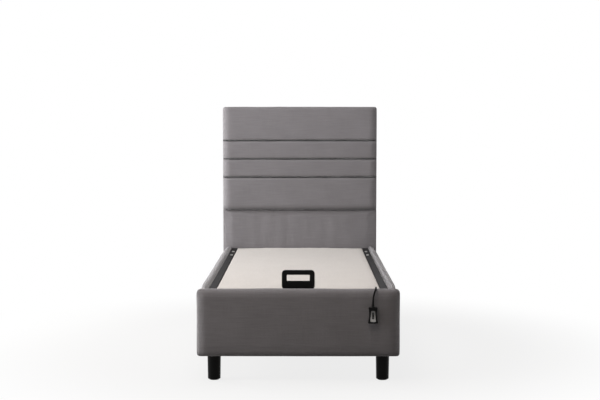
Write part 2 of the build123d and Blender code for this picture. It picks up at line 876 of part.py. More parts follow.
# Fixed tube behind the drive, in sockets on the box sides
socket_inner = inner_half - tube_socket_thickness
with BuildPart() as drive_tube:
    with BuildSketch(Plane.YZ.offset(-socket_inner)):
        with Locations(drive_tube_place):
            Circle(torque_tube_diameter / 2)
            Circle(torque_tube_diameter / 2 - torque_tube_wall, mode=Mode.SUBTRACT)
    extrude(amount=2 * socket_inner)
save(drive_tube, "drive_tube")

with BuildPart() as drive_tube_sockets:
    for side in sides.values():
        with BuildSketch(Plane.YZ.offset(side * socket_inner)):
            with Locations(drive_tube_place):
                RectangleRounded(tube_socket_side, tube_socket_side, drive_corner)
        extrude(amount=side * tube_socket_thickness)
        with BuildSketch(Plane.YZ.offset(side * socket_inner)):
            with Locations(drive_tube_place):
                Circle(torque_tube_diameter / 2 + tube_socket_thickness)
                Circle(torque_tube_diameter / 2 + fastener_clearance, mode=Mode.SUBTRACT)
        extrude(amount=-side * torque_tube_diameter / 2)
save(drive_tube_sockets, "drive_tube_sockets")

# Cord gland and mains inlet on the housing's right cheek
gland_place = on_drive(gland_setback, socket_level)
with BuildPart() as cord_gland:
    with BuildSketch(Plane.YZ.offset(drive_half)):
        with Locations(gland_place):
            Circle(gland_diameter / 2)
    extrude(amount=gland_length)
    chamfer(cord_gland.faces().sort_by(Axis.X)[-1].edges(), (gland_diameter - cord_diameter) / 4)
save(cord_gland, "cord_gland")

with BuildPart() as mains_inlet:
    with BuildSketch(Plane.YZ.offset(drive_half)):
        with Locations(on_drive(inlet_setback, socket_level)):
            RectangleRounded(inlet_width, inlet_height, inlet_wall)
    extrude(amount=inlet_depth)
    with BuildSketch(Plane.YZ.offset(drive_half + inlet_wall)):
        with Locations(on_drive(inlet_setback, socket_level)):
            Rectangle(inlet_width - 2 * inlet_wall, inlet_height - 2 * inlet_wall)
    extrude(amount=inlet_depth, mode=Mode.SUBTRACT)
save(mains_inlet, "mains_inlet")

# Rests for the foot end of the deck: a block on each side board with a rubber buffer on top
buffer_top = rail_bottom - buffer_play
rest_y = foot_inner + rest_distance
rest_points = [(side * (inner_half - rest_width / 2), rest_y) for side in sides.values()]
with BuildPart() as rest_blocks:
    with BuildSketch(Plane.XY.offset(buffer_top - buffer_height)):
        with Locations(*rest_points):
            Rectangle(rest_width, rest_length)
    extrude(amount=-rest_height)
save(rest_blocks, "rest_blocks")

with BuildPart() as rest_buffers:
    with BuildSketch(Plane.XY.offset(buffer_top - buffer_height)):
        with Locations(*rest_points):
            Rectangle(rest_width, rest_length)
    extrude(amount=buffer_height)
save(rest_buffers, "rest_buffers")

# Deck frame: side rails with end caps, end tubes and cross tubes
bracket_bolt_x = bracket_inner - bracket_nut_diameter / 2 - fastener_clearance
bracket_bolt_points = [
    (side * bracket_bolt_x, head_face - distance)
    for side in sides.values()
    for distance in bracket_bolt_distances
]
bracket_bolt_hole = bracket_bolt_diameter / 2 + fastener_clearance
rail_centre = ((rail_outer + rail_inner) / 2, (rail_top + rail_bottom) / 2)

for name, side in sides.items():
    with BuildPart() as deck_rail:
        with BuildSketch(Plane.XZ.offset(-deck_middle)):
            with Locations((side * rail_centre[0], rail_centre[1])):
                RectangleRounded(rail_width, rail_height, rail_corner)
                RectangleRounded(
                    rail_width - 2 * rail_wall,
                    rail_height - 2 * rail_wall,
                    rail_corner - rail_wall,
                    mode=Mode.SUBTRACT,
                )
        extrude(amount=deck_length / 2 - cap_thickness, both=True)
        with BuildSketch(Plane.XY.offset(rail_bottom)):
            with Locations(*[point for point in bracket_bolt_points if point[0] * side > 0]):
                Circle(bracket_bolt_hole)
        extrude(amount=rail_height, mode=Mode.SUBTRACT)
    save(deck_rail, f"deck_rail_{name}")

with BuildPart() as rail_end_caps:
    for y, direction in ((deck_foot, -1), (deck_head, 1)):
        with BuildSketch(Plane.XZ.offset(-y)):
            with Locations(*[(side * rail_centre[0], rail_centre[1]) for side in sides.values()]):
                RectangleRounded(rail_width, rail_height, rail_corner)
        extrude(amount=direction * cap_thickness)
save(rail_end_caps, "rail_end_caps")


# End tubes and cross tubes of the deck, welded between the rails
foot_tube_y = deck_foot + end_tube_inset
head_tube_y = deck_head - end_tube_inset
tube_pitch = (head_tube_y - foot_tube_y) / (cross_tube_count + 1)
with BuildPart() as deck_cross_tubes:
    for step in range(cross_tube_count + 2):
        with BuildSketch(Plane.YZ.offset(-rail_inner)):
            with Locations((foot_tube_y + step * tube_pitch, rail_bottom + cross_tube_height / 2)):
                Rectangle(cross_tube_width, cross_tube_height)
                Rectangle(
                    cross_tube_width - 2 * cross_tube_wall,
                    cross_tube_height - 2 * cross_tube_wall,
                    mode=Mode.SUBTRACT,
                )
        extrude(amount=2 * rail_inner)
save(deck_cross_tubes, "deck_cross_tubes")

# Deck board and its padded cover, which crowns slightly between the rails
cover_half = rail_inner - deck_cover_gap
stop_front = deck_foot + deck_edge_round
stop_screw_y = stop_front + stop_thickness + stop_foot_depth / 2
stop_screw_points = [(step * stop_screw_spacing, stop_screw_y) for step in (-1, 0, 1)]
stop_screw_hole = stop_screw_diameter / 2 + fastener_clearance

with BuildPart() as deck_board:
    with Locations((0, deck_middle, (deck_board_bottom + deck_board_top) / 2)):
        Box(2 * cover_half, deck_length, deck_board_thickness)
    with BuildSketch(Plane.XY.offset(deck_board_top)):
        with Locations(*stop_screw_points):
            Circle(stop_screw_hole)
    extrude(amount=-stop_screw_grip, mode=Mode.SUBTRACT)
save(deck_board, "deck_board")

with BuildPart() as deck_cover:
    with BuildSketch(Plane.XZ.offset(-deck_middle)) as profile:
        with BuildLine():
            left_edge = (-cover_half, deck_cover_edge)
            right_edge = (cover_half, deck_cover_edge)
            crown = ThreePointArc(left_edge, (0, deck_cover_top), right_edge)
            Polyline(crown @ 1, (cover_half, deck_board_top), (-cover_half, deck_board_top), crown @ 0)
        make_face()
        top_corners = profile.vertices().sort_by(Axis.Y)[2:]
        fillet(top_corners, deck_edge_round)
    extrude(amount=deck_length / 2 + trim_margin, both=True)
    with BuildSketch(Plane.YZ) as elevation:
        with Locations((deck_middle, deck_board_top - trim_margin)):
            cover_rise = deck_cover_top - deck_board_top
            Rectangle(deck_length, cover_rise + trim_margin + crown_margin, align=(Align.CENTER, Align.MIN))
        fillet(elevation.vertices().group_by(Axis.Y)[-1], deck_edge_round)
    extrude(amount=cover_half + trim_margin, both=True, mode=Mode.INTERSECT)
    with BuildSketch(Plane.XY.offset(deck_board_top)):
        with Locations(*stop_screw_points):
            Circle(stop_screw_hole)
    extrude(amount=cover_rise, mode=Mode.SUBTRACT)
save(deck_cover, "deck_cover")

# Brackets that hang the deck on the arms, bolted up through the rails
bracket_span = (
    head_face - bracket_bolt_distances[1] - bracket_end_margin,
    head_face - bracket_bolt_distances[0] + bracket_end_margin,
)
bracket_length = bracket_span[1] - bracket_span[0]
flange_bottom = rail_bottom - bracket_thickness
flange_inner = bracket_outer - bracket_flange_width

with BuildPart() as lift_brackets:
    for side in sides.values():
        with BuildSketch(Plane.YZ.offset(side * bracket_inner)):
            with Locations((sum(bracket_span) / 2, rail_bottom)):
                Rectangle(bracket_length, bracket_thickness, align=(Align.CENTER, Align.MAX))
            with Locations(rear_tip, front_tip):
                Circle(arm_tip_radius)
            make_hull()
            with Locations(rear_tip):
                Circle(bracket_hole, mode=Mode.SUBTRACT)
            with Locations(front_tip):
                Circle(open_hole, mode=Mode.SUBTRACT)
        extrude(amount=side * bracket_thickness)
        flange_middle = side * (flange_inner + bracket_outer) / 2
        with Locations((flange_middle, sum(bracket_span) / 2, rail_bottom - bracket_thickness / 2)):
            Box(bracket_flange_width, bracket_length, bracket_thickness)
    with BuildSketch(Plane.XY.offset(flange_bottom)):
        with Locations(*bracket_bolt_points):
            Circle(bracket_bolt_hole)
    extrude(amount=bracket_thickness, mode=Mode.SUBTRACT)
save(lift_brackets, "lift_brackets")

with BuildPart() as bracket_bolts:
    with BuildSketch(Plane.XY.offset(rail_top)):
        with Locations(*bracket_bolt_points):
            RegularPolygon(bracket_bolt_head / 2, 6)
    extrude(amount=bracket_bolt_head_height)
    with BuildSketch(Plane.XY.offset(rail_top)):
        with Locations(*bracket_bolt_points):
            Circle(bracket_bolt_diameter / 2)
    extrude(amount=flange_bottom - bracket_nut_height - rail_top)
    with BuildSketch(Plane.XY.offset(flange_bottom)):
        with Locations(*bracket_bolt_points):
            Circle(bracket_nut_diameter / 2)
    extrude(amount=-bracket_nut_height)
save(bracket_bolts, "bracket_bolts")

deck_arm_pins = cross_pins(
    rear_tip,
    [
        (arm_outer, arm_outer + pin_head_height, pin_head_diameter),
        (bracket_inner, arm_outer, deck_pin_diameter),
        (bracket_inner - pin_head_height, bracket_inner, pin_head_diameter),
    ],
)
save(deck_arm_pins, "deck_arm_pins")

# Mattress stop: a moulded loop on a foot that is screwed down through the deck
stop_bottom = deck_cover_top
stop_window_top = stop_bottom + stop_height - stop_top_bar

with BuildPart() as mattress_stop:
    with BuildSketch(Plane.XZ.offset(-stop_front - stop_thickness)):
        with Locations((0, stop_bottom + stop_height / 2)):
            RectangleRounded(stop_width, stop_height, stop_corner_radius)
        with Locations((0, stop_window_top - stop_window_height / 2)):
            RectangleRounded(stop_window_width, stop_window_height, stop_window_radius, mode=Mode.SUBTRACT)
    extrude(amount=stop_thickness)
    fillet(mattress_stop.faces().sort_by(Axis.Y)[0].edges(), stop_edge_round)
    with BuildSketch(Plane.XY.offset(stop_bottom)) as foot:
        with Locations((0, stop_front + stop_thickness / 2)):
            Rectangle(
                stop_width - 2 * stop_corner_radius,
                stop_foot_depth + stop_thickness / 2,
                align=(Align.CENTER, Align.MIN),
            )
    extrude(amount=stop_foot_thickness)
    with BuildSketch(Plane.XY.offset(stop_bottom)):
        with Locations(*stop_screw_points):
            Circle(stop_screw_hole)
    extrude(amount=stop_foot_thickness, mode=Mode.SUBTRACT)
save(mattress_stop, "mattress_stop")

with BuildPart() as mattress_stop_screws:
    with BuildSketch(Plane.XY.offset(stop_bottom + stop_foot_thickness)):
        with Locations(*stop_screw_points):
            Circle(stop_screw_head / 2)
    extrude(amount=stop_screw_head_height)
    with BuildSketch(Plane.XY.offset(stop_bottom + stop_foot_thickness)):
        with Locations(*stop_screw_points):
            Circle(stop_screw_diameter / 2)
    extrude(amount=-(stop_foot_thickness + cover_rise + stop_screw_grip))
save(mattress_stop_screws, "mattress_stop_screws")

# Handset: waisted two-part shell, face plate, two push buttons and a cord boot
handset_rear = foot_front - handset_gap
handset_front = handset_rear - handset_depth
handset_split = handset_rear - handset_back_depth
handset_across = half_width - handset_inset
handset_top = box_top - handset_drop
handset_bottom = handset_top - handset_height
handset_middle = handset_bottom + handset_height / 2


def handset_shell(rear_y, front_y):
    """One half of the handset's shell, between two planes across its depth."""
    with BuildPart() as shell:
        with BuildSketch(Plane.XZ.offset(-rear_y)) as outline:
            with BuildLine():
                right = ThreePointArc(
                    (handset_across + handset_foot_width / 2, handset_bottom),
                    (handset_across + handset_waist_width / 2, handset_middle),
                    (handset_across + handset_top_width / 2, handset_top),
                )
                left = ThreePointArc(
                    (handset_across - handset_top_width / 2, handset_top),
                    (handset_across - handset_waist_width / 2, handset_middle),
                    (handset_across - handset_foot_width / 2, handset_bottom),
                )
                Line(right @ 1, left @ 0)
                Line(left @ 1, right @ 0)
            make_face()
            fillet(outline.vertices(), handset_corner)
        extrude(amount=rear_y - front_y)
    return shell


def plate_outline(plane, margin):
    """The face plate's tapered outline, drawn larger by a margin."""
    with BuildSketch(plane) as outline:
        with BuildLine():
            foot = handset_bottom + plate_foot_level
            Polyline(
                (handset_across - plate_foot_width / 2, foot),
                (handset_across + plate_foot_width / 2, foot),
                (handset_across + plate_top_width / 2, foot + plate_height),
                (handset_across - plate_top_width / 2, foot + plate_height),
                close=True,
            )
        make_face()
        fillet(outline.vertices(), plate_corner)
        offset(amount=margin)
    return outline.sketch


button_points = {
    "button_up": (handset_across, handset_bottom + button_levels[0]),
    "button_down": (handset_across, handset_bottom + button_levels[1]),
}
button_floor = handset_front + button_depth + button_travel + button_clearance
button_opening = (button_height + 2 * button_clearance, button_width + 2 * button_clearance)

handset_back = handset_shell(handset_rear, handset_split)
with BuildPart() as handset_back_shell:
    add(handset_back.part)
    fillet(handset_back_shell.faces().sort_by(Axis.Y)[-1].edges(), handset_edge_round)
save(handset_back_shell, "handset_back_shell")

handset_front_half = handset_shell(handset_split, handset_front)
plate_pocket = plate_outline(Plane.XZ.offset(-handset_front - plate_thickness), fastener_clearance)
with BuildPart() as handset_front_shell:
    add(handset_front_half.part)
    fillet(handset_front_shell.faces().sort_by(Axis.Y)[0].edges(), handset_edge_round)
    extrude(plate_pocket, amount=plate_thickness, mode=Mode.SUBTRACT)
    with BuildSketch(Plane.XZ.offset(-button_floor)):
        with Locations(*button_points.values()):
            SlotOverall(*button_opening, rotation=90)
    extrude(amount=button_floor - handset_front, mode=Mode.SUBTRACT)
save(handset_front_shell, "handset_front_shell")

plate_face = plate_outline(Plane.XZ.offset(-handset_front - plate_thickness), 0)
with BuildPart() as handset_plate:
    extrude(plate_face, amount=plate_thickness)
    with BuildSketch(Plane.XZ.offset(-handset_front - plate_thickness)):
        with Locations(*button_points.values()):
            SlotOverall(*button_opening, rotation=90)
    extrude(amount=plate_thickness, mode=Mode.SUBTRACT)
save(handset_plate, "handset_plate")

for name, place in button_points.items():
    with BuildPart() as button:
        with BuildSketch(Plane.XZ.offset(-handset_front - button_depth)):
            with Locations(place):
                SlotOverall(button_height, button_width, rotation=90)
        extrude(amount=button_depth + button_rise)
    save(button, name)

boot_y = (handset_rear + handset_front) / 2
with BuildPart() as handset_boot:
    with BuildSketch(Plane((handset_across, boot_y, handset_top))):
        Circle(boot_foot_diameter / 2)
    with BuildSketch(Plane((handset_across, boot_y, handset_top + boot_height))):
        Circle(boot_tip_diameter / 2)
    loft()
save(handset_boot, "handset_boot")

# Handset cord: one tube along straight runs and tangent arcs, each arc as large as its runs allow
cord_points = [Vector(*point) for point in cord_route]
cord_radii = []
for before, corner, after in zip(cord_points, cord_points[1:], cord_points[2:]):
    turn = radians((corner - before).get_angle(after - corner))
    shorter_run = min((corner - before).length, (after - corner).length)
    cord_radii.append(0.45 * shorter_run / tan(turn / 2))

with BuildPart() as handset_cord:
    with BuildLine() as cord_path:
        FilletPolyline(*cord_points, radius=cord_radii)
    with BuildSketch(Plane(cord_path.wire() @ 0, z_dir=cord_path.wire() % 0)):
        Circle(cord_diameter / 2)
    sweep()
save(handset_cord, "handset_cord")

cord_length = cord_path.wire().length
cord_section = pi * cord_diameter**2 / 4
print("cord radii:", [round(radius) for radius in cord_radii])
volume_ratio = handset_cord.part.volume / (cord_section * cord_length)
print("cord length:", round(cord_length), "volume ratio:", round(volume_ratio, 4))
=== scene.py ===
# %% [markdown]
# # A lift-up bed base, dressed on its construction model
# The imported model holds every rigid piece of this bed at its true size: boards, steel deck, lift arms, drive,
# legs and handset. Here it gets its looks: padded cloth panels, a channelled headboard, finishes and small trim.
# Everything is in metres. +Y runs from the foot to the headboard, +Z is up and the floor is at zero.

import json
import math

import bmesh
import bpy
import numpy as np
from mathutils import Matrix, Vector

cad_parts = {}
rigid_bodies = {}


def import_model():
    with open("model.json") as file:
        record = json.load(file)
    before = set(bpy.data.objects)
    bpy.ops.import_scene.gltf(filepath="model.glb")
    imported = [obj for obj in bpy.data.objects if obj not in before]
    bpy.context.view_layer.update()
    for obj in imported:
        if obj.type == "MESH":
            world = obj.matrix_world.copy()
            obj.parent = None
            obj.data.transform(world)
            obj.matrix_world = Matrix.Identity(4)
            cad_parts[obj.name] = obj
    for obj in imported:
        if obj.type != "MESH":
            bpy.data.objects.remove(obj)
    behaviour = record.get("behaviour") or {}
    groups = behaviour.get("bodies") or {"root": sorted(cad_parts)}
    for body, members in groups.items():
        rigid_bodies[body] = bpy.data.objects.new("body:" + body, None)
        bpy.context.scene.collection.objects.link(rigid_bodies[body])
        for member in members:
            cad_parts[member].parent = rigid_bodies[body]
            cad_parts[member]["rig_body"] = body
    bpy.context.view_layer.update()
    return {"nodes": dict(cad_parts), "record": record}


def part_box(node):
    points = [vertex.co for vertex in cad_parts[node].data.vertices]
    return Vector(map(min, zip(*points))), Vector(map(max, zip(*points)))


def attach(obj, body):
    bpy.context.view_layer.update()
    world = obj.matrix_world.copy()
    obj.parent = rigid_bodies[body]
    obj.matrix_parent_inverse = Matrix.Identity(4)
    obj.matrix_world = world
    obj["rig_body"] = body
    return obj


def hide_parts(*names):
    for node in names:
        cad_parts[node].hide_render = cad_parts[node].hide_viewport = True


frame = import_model()
scene = bpy.context.scene
scene.view_settings.view_transform = "Standard"

# %% [markdown]
# ## Camera
# A product shot of a bed is taken from the foot, a little above the mattress line and from far back, so that the
# long sides draw in only gently. A tilted camera with a long lens gives that view without any lens shift.

# %% Camera
EYE = Vector((0.030, -6.732, 1.284))
TILT_DOWN = 3.823  # degrees
TURN_LEFT = 0.212  # degrees
LENS = 70.7  # millimetres
SENSOR_WIDTH = 36  # millimetres


def add_object(name, data):
    """Puts a camera, lamp, curve or mesh into the scene as an object of its own."""
    made = bpy.data.objects.new(name, data)
    scene.collection.objects.link(made)
    return made


camera_data = bpy.data.cameras.new("bed_camera")
camera_data.sensor_width = SENSOR_WIDTH
camera_data.lens = LENS
camera = add_object("bed_camera", camera_data)
camera.location = EYE
camera.rotation_euler = [math.radians(a) for a in (90 - TILT_DOWN, 0, TURN_LEFT)]
scene.camera = camera

# %% [markdown]
# ## Handset cord
# The cord hangs from the handset, goes over the padded foot panel, drops through the gap before the deck and lies
# on the storage floor up to the drive. Its length is fixed, so its route is a list of given points. A NURBS curve
# with a round bevel turns that list into one smooth limp line. Its thickness is set as the radius of each point
# under a bevel of 1, because Blender adds that radius to the curve's box.

# %% Handset cord
CORD_THICKNESS = 0.009
CORD_ROUTE = (
    (0.365, -1.0325, 0.393),
    (0.365, -1.0325, 0.403),
    (0.367, -1.0325, 0.436),
    (0.379, -1.0325, 0.4705),
    (0.383, -0.967, 0.4705),
    (0.384, -0.9665, 0.408),
    (0.378, -0.966, 0.300),
    (0.374, -0.960, 0.184),
    (0.369, -0.870, 0.171),
    (0.358, -0.760, 0.171),
    (0.336, -0.640, 0.171),
    (0.306, -0.520, 0.171),
    (0.284, -0.400, 0.171),
    (0.274, -0.270, 0.171),
    (0.272, -0.140, 0.171),
    (0.262, -0.012, 0.171),
    (0.244, 0.110, 0.171),
    (0.232, 0.235, 0.172),
    (0.221, 0.350, 0.176),
    (0.196, 0.440, 0.200),
    (0.128, 0.485, 0.275),
    (0.049, 0.485, 0.275),
)
cord_curve = bpy.data.curves.new("handset_cord_line", "CURVE")
cord_curve.dimensions = "3D"
cord_curve.bevel_depth = 1.0
cord_curve.bevel_resolution = 5
cord_curve.use_fill_caps = True
cord_curve.resolution_u = 14
cord_spline = cord_curve.splines.new("NURBS")
cord_spline.points.add(len(CORD_ROUTE) - 1)
for point, place in zip(cord_spline.points, reversed(CORD_ROUTE)):
    point.co = (*place, 1.0)
    point.radius = CORD_THICKNESS / 2
cord_spline.order_u = 3
cord_spline.use_endpoint_u = True
cord = add_object("handset_lead", cord_curve)
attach(cord, "base")
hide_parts("handset_cord")
print("cord", round(cord_spline.calc_length(), 3), "m long")

# %% [markdown]
# ## Writing shader maths as Python
# A finish is a graph of nodes, and a graph is hard to read as a list of links. A small class wraps one output of a
# node, so that `1 - mask` or `weave * 0.2` adds the right Math node by itself. A second class wraps the tree and has
# one method that adds any other node: its settings come first, then the values or links of its sockets.

# %% Shader maths
class Wire:
    """One output of a node, which arithmetic turns into Math nodes."""

    def __init__(self, graph, socket):
        self.graph = graph
        self.socket = socket

    def maths(self, operation, first, second):
        return self.graph.node("Math", {"operation": operation}, {0: first, 1: second})

    def __add__(self, other):
        return self.maths("ADD", self, other)

    def __radd__(self, other):
        return self.maths("ADD", other, self)

    def __sub__(self, other):
        return self.maths("SUBTRACT", self, other)

    def __rsub__(self, other):
        return self.maths("SUBTRACT", other, self)

    def __mul__(self, other):
        return self.maths("MULTIPLY", self, other)

    def __rmul__(self, other):
        return self.maths("MULTIPLY", other, self)

    def __gt__(self, other):
        return self.maths("GREATER_THAN", self, other)

    def other(self, output):
        """Another output of the same node."""
        return Wire(self.graph, self.socket.node.outputs[output])


print("values take sums and products")


# %% Node graphs
class Graph:
    """A node tree that is being wired."""

    def __init__(self, tree):
        self.tree = tree

    def feed(self, socket, value):
        if isinstance(value, Wire):
            self.tree.links.new(value.socket, socket)
        else:
            socket.default_value = value

    def node(self, kind, settings=None, sockets=None, output=0):
        """Adds a node, sets it up, fills its sockets and returns one of its outputs."""
        made = self.tree.nodes.new("ShaderNode" + kind)
        for key, value in (settings or {}).items():
            setattr(made, key, value)
        for key, value in (sockets or {}).items():
            self.feed(made.inputs[key], value)
        return Wire(self, made.outputs[output])

    def function(self, operation, value):
        """A Math node of one value, such as SINE or ABSOLUTE."""
        return self.node("Math", {"operation": operation}, {0: value})

    def blend(self, share, first, second):
        """A colour between two colours."""
        return self.node("Mix", {"data_type": "RGBA"}, {0: share, 6: first, 7: second}, output=2)

    def noise(self, place, scale, detail=2.0, roughness=0.5):
        sockets = {"Vector": place, "Scale": scale, "Detail": detail, "Roughness": roughness}
        return self.node("TexNoise", None, sockets)

    def streaks(self, place, scales, detail, roughness=0.5):
        """Noise with its own number of changes per metre along each axis."""
        stretched = self.node("VectorMath", {"operation": "MULTIPLY"}, {0: place, 1: scales})
        return self.noise(stretched, 1.0, detail, roughness)

    def ramp(self, value, low, high):
        """A value spread from 0 at low to 1 at high, with soft ends."""
        settings = {"interpolation_type": "SMOOTHSTEP"}
        return self.node("MapRange", settings, {"Value": value, "From Min": low, "From Max": high})


print("any node comes from one method")


# %% Finishes
class Finish(Graph):
    """A material: uniform values go on its Principled shader at once, and what varies is fed later."""

    def __init__(self, name, uniform):
        self.material = bpy.data.materials.new(name)
        self.material.use_nodes = True
        super().__init__(self.material.node_tree)
        self.shader = self.tree.nodes["Principled BSDF"]
        for socket, value in uniform.items():
            self.shader.inputs[socket].default_value = value

    def vary(self, socket, value):
        self.feed(self.shader.inputs[socket], value)

    def relief(self, height, depth):
        """Raised and sunken detail, depth metres from its lowest to its highest."""
        self.vary("Normal", self.node("Bump", None, {"Height": height, "Distance": depth}))

    def place(self):
        """Where a point lies on its own piece, in metres."""
        return self.node("TexCoord", output=3)


def rgb(red, green, blue):
    return (red, green, blue, 1.0)


print("shader classes ready")

# %% [markdown]
# ## Studio
# The bed stands on a white sweep. A large softbox hangs over the deck, behind the foot panel, so the deck and the
# headboard are bright while the panel that faces the camera stays darker. Two softboxes at the left brighten the
# edges that face them, a weak one at the right and a warm one before the foot fill the shade, and a low one lights
# the back. One strong lamp would be simpler, but its hard shadows would hide the weave.

# %% Lamps
def softbox(name, place, aim, size, watts, colour=(1, 1, 1), gloss=True):
    """A rectangular lamp turned to a point; without gloss it leaves no highlights."""
    lamp = bpy.data.lights.new(name, "AREA")
    lamp.shape = "RECTANGLE"
    lamp.size, lamp.size_y = size
    lamp.energy = watts
    lamp.color = colour
    holder = add_object(name, lamp)
    holder.location = place
    holder.rotation_euler = (Vector(aim) - Vector(place)).to_track_quat("-Z", "Y").to_euler()
    holder.visible_glossy = gloss


softbox("overhead", (-0.45, -0.35, 3.0), (0.0, 0.1, 0.4), (1.8, 1.4), 49, (0.99, 0.98, 1.0))
softbox("left_front", (-4.0, -1.35, 1.2), (0, 0, 0.7), (1.2, 2.2), 165)
softbox("left_back", (-2.9, 0.95, 0.85), (0, 0.4, 0.7), (1.0, 1.4), 105, gloss=False)
softbox("right_side", (3.4, 0.2, 1.2), (0, 0, 0.6), (1.0, 1.8), 26)
softbox("front_high", (-0.4, -2.2, 2.8), (0, -1.0, 0.35), (1.6, 1.0), 33, (1.0, 0.90, 0.80))
softbox("back_fill", (0.0, 4.2, 1.1), (0, 1.0, 0.7), (0.7, 1.2), 60, gloss=False)

# %% [markdown]
# ## White background
# White behind the bed could come from more light, but that would wash out the cloth. Light Path tells which ray asks:
# the camera, mirrors and glass see white, and the bed gets only a weak even light from the sky. The floor is white
# for them too, but near the bed it keeps part of its shadow.

# %% Sky and floor
WHITE = rgb(1, 1, 1)
AMBIENT = rgb(0.10, 0.10, 0.10)
FLOOR_RADIUS = 14.0
SHADOW_KEEP = 0.82
SHADOW_REACH = (1.0, 2.2)


def seen_directly(graph):
    """1 on rays from the camera, a mirror or glass, and 0 on light that falls on things."""
    path = graph.node("LightPath", output="Is Camera Ray")
    seen = path.maths("MAXIMUM", path, path.other("Is Glossy Ray"))
    return seen.maths("MAXIMUM", seen, path.other("Is Transmission Ray"))


world = bpy.data.worlds.new("white_studio")
scene.world = world
world.use_nodes = True
sky = Graph(world.node_tree)
sky.feed(sky.tree.nodes["Background"].inputs["Color"], sky.blend(seen_directly(sky), AMBIENT, WHITE))

sweep_mesh = bmesh.new()
bmesh.ops.create_circle(sweep_mesh, cap_ends=True, segments=96, radius=FLOOR_RADIUS)
sweep_data = bpy.data.meshes.new("floor")
sweep_mesh.to_mesh(sweep_data)
sweep_mesh.free()
sweep = add_object("floor", sweep_data)
paper = Finish("white_paper", {"Base Color": rgb(0.35, 0.34, 0.33), "Roughness": 0.9, "Specular IOR Level": 0.1})
distance = paper.node("VectorMath", {"operation": "LENGTH"}, {0: paper.place()}, output="Value")
fade = SHADOW_KEEP + (1 - SHADOW_KEEP) * paper.ramp(distance, *SHADOW_REACH)
lit = Wire(paper, paper.shader.outputs[0])
glow = paper.node("Emission", None, {"Color": WHITE, "Strength": 1.0})
mixed = paper.node("MixShader", None, {0: fade * seen_directly(paper), 1: lit, 2: glow})
paper.feed(paper.tree.nodes["Material Output"].inputs["Surface"], mixed)
sweep_data.materials.append(paper.material)
print("floor", 2 * FLOOR_RADIUS, "m across")

# %% [markdown]
# ## Woven upholstery
# The panels are covered in a grey plain weave with uneven yarns. Near by, the threads pass over and under each
# other; from a step away only soft streaks are left. Each cloth piece carries a `cloth` attribute that says where a
# point lies on the flat cloth, so the weave follows every rolled edge instead of being cut by it. The attribute's
# third part is painted shade, which darkens the colour along the sewn creases and the pads' bottom edges.

# %% Woven cloth
ALONG_YARN, ACROSS_YARN = 9.0, 420.0  # changes of a yarn's thickness per metre
BANDS = (8.0, 130.0, 0.0)
CLOUDS = (7.0, 7.0, 0.0)
PAINTED_SHADE_DARKNESS = 0.12
THREAD_RELIEF = 0.0005


def woven_cloth(name, uniform, pitch, dark, light):
    """A plain weave of the given thread pitch, with slubs along both thread directions."""
    paint = Finish(name, uniform)
    flat = paint.node("Attribute", {"attribute_name": "cloth"}, output="Vector")
    across = paint.node("SeparateXYZ", None, {0: flat})
    along, painted_shade = across.other(1), across.other(2)
    warp = paint.function("SINE", across * (math.pi / pitch))
    weft = paint.function("SINE", along * (math.pi / pitch))
    over = warp * weft > 0.0
    thread = over * paint.function("ABSOLUTE", warp) + (1 - over) * paint.function("ABSOLUTE", weft)
    weft_slub = paint.streaks(flat, (ALONG_YARN, ACROSS_YARN, 0.0), 3.0)
    warp_slub = paint.streaks(flat, (ACROSS_YARN, ALONG_YARN, 0.0), 3.0)
    band = paint.streaks(flat, BANDS, 2.0)
    cloud = paint.streaks(flat, CLOUDS, 3.0)
    slubs = 0.5 * (weft_slub - 0.5) + 0.3 * (warp_slub - 0.5) + 0.3 * (band - 0.5)
    shade = 0.5 + slubs + 0.3 * (cloud - 0.5) + 0.25 * (thread - 0.6)
    # Painted shade: where the cloth attribute's third part is high, the colour goes towards a near-black copy of the
    # dark yarn.
    painted_shade_colour = rgb(*(PAINTED_SHADE_DARKNESS * part for part in dark[:3]))
    paint.vary("Base Color", paint.blend(painted_shade, paint.blend(shade, dark, light), painted_shade_colour))
    paint.vary("Roughness", 0.8 + 0.16 * weft_slub)
    paint.relief(thread + 0.8 * weft_slub + 0.8 * warp_slub, THREAD_RELIEF)
    return paint.material


upholstery = woven_cloth(
    "grey_upholstery",
    {"Sheen Weight": 0.5, "Sheen Roughness": 0.35, "Specular IOR Level": 0.2},
    pitch=0.0017,
    dark=rgb(0.115, 0.109, 0.114),
    light=rgb(0.227, 0.217, 0.226),
)
deck_cloth = woven_cloth(
    "beige_deck_cloth",
    {"Sheen Weight": 0.1, "Sheen Roughness": 0.5, "Specular IOR Level": 0.2},
    pitch=0.0030,
    dark=rgb(0.455, 0.429, 0.404),
    light=rgb(0.605, 0.576, 0.548),
)
print("woven finishes:", upholstery.name, deck_cloth.name)

# %% [markdown]
# ## Drawing a section
# A pad's cross-section is a chain of straight and rounded stretches, drawn once round the pad. Each stretch also says
# what holds it: the cloth is free, held by staples, lies on its board, or is the face that carries sewn lines.

# %% Tools for sections
FREE, HELD, BOARD, FACE = range(4)


def bow(centre, reach, start, end, count):
    """Points along part of an ellipse between two angles in degrees; the last is left to the next stretch."""
    angles = np.radians(np.linspace(start, end, count, endpoint=False))
    return [(centre[0] + reach[0] * math.cos(a), centre[1] + reach[1] * math.sin(a)) for a in angles]


def run(start, end, count):
    """Points along a straight stretch; the last is left to the next stretch."""
    return [tuple(point) for point in np.linspace(start, end, count, endpoint=False)]


def section_of(stretches):
    """The points of a section in order, and what holds each of them."""
    points = np.array([point for _, stretch in stretches for point in stretch])
    holds = np.array([hold for hold, stretch in stretches for _ in stretch])
    return points, holds


def draw_in(reach, depth, inset):
    """How far a rounded edge lies back, at an inset from its end; it starts to fall away at its reach."""
    short = np.clip(1 - np.asarray(inset, float) / reach, 0.0, 1.0)
    return depth * (1 - np.sqrt(1 - short**2))


def between(low, high, value):
    """0 below low, 1 above high, and a smooth rise between them."""
    share = np.clip((np.asarray(value, float) - low) / (high - low), 0.0, 1.0)
    return share * share * (3 - 2 * share)


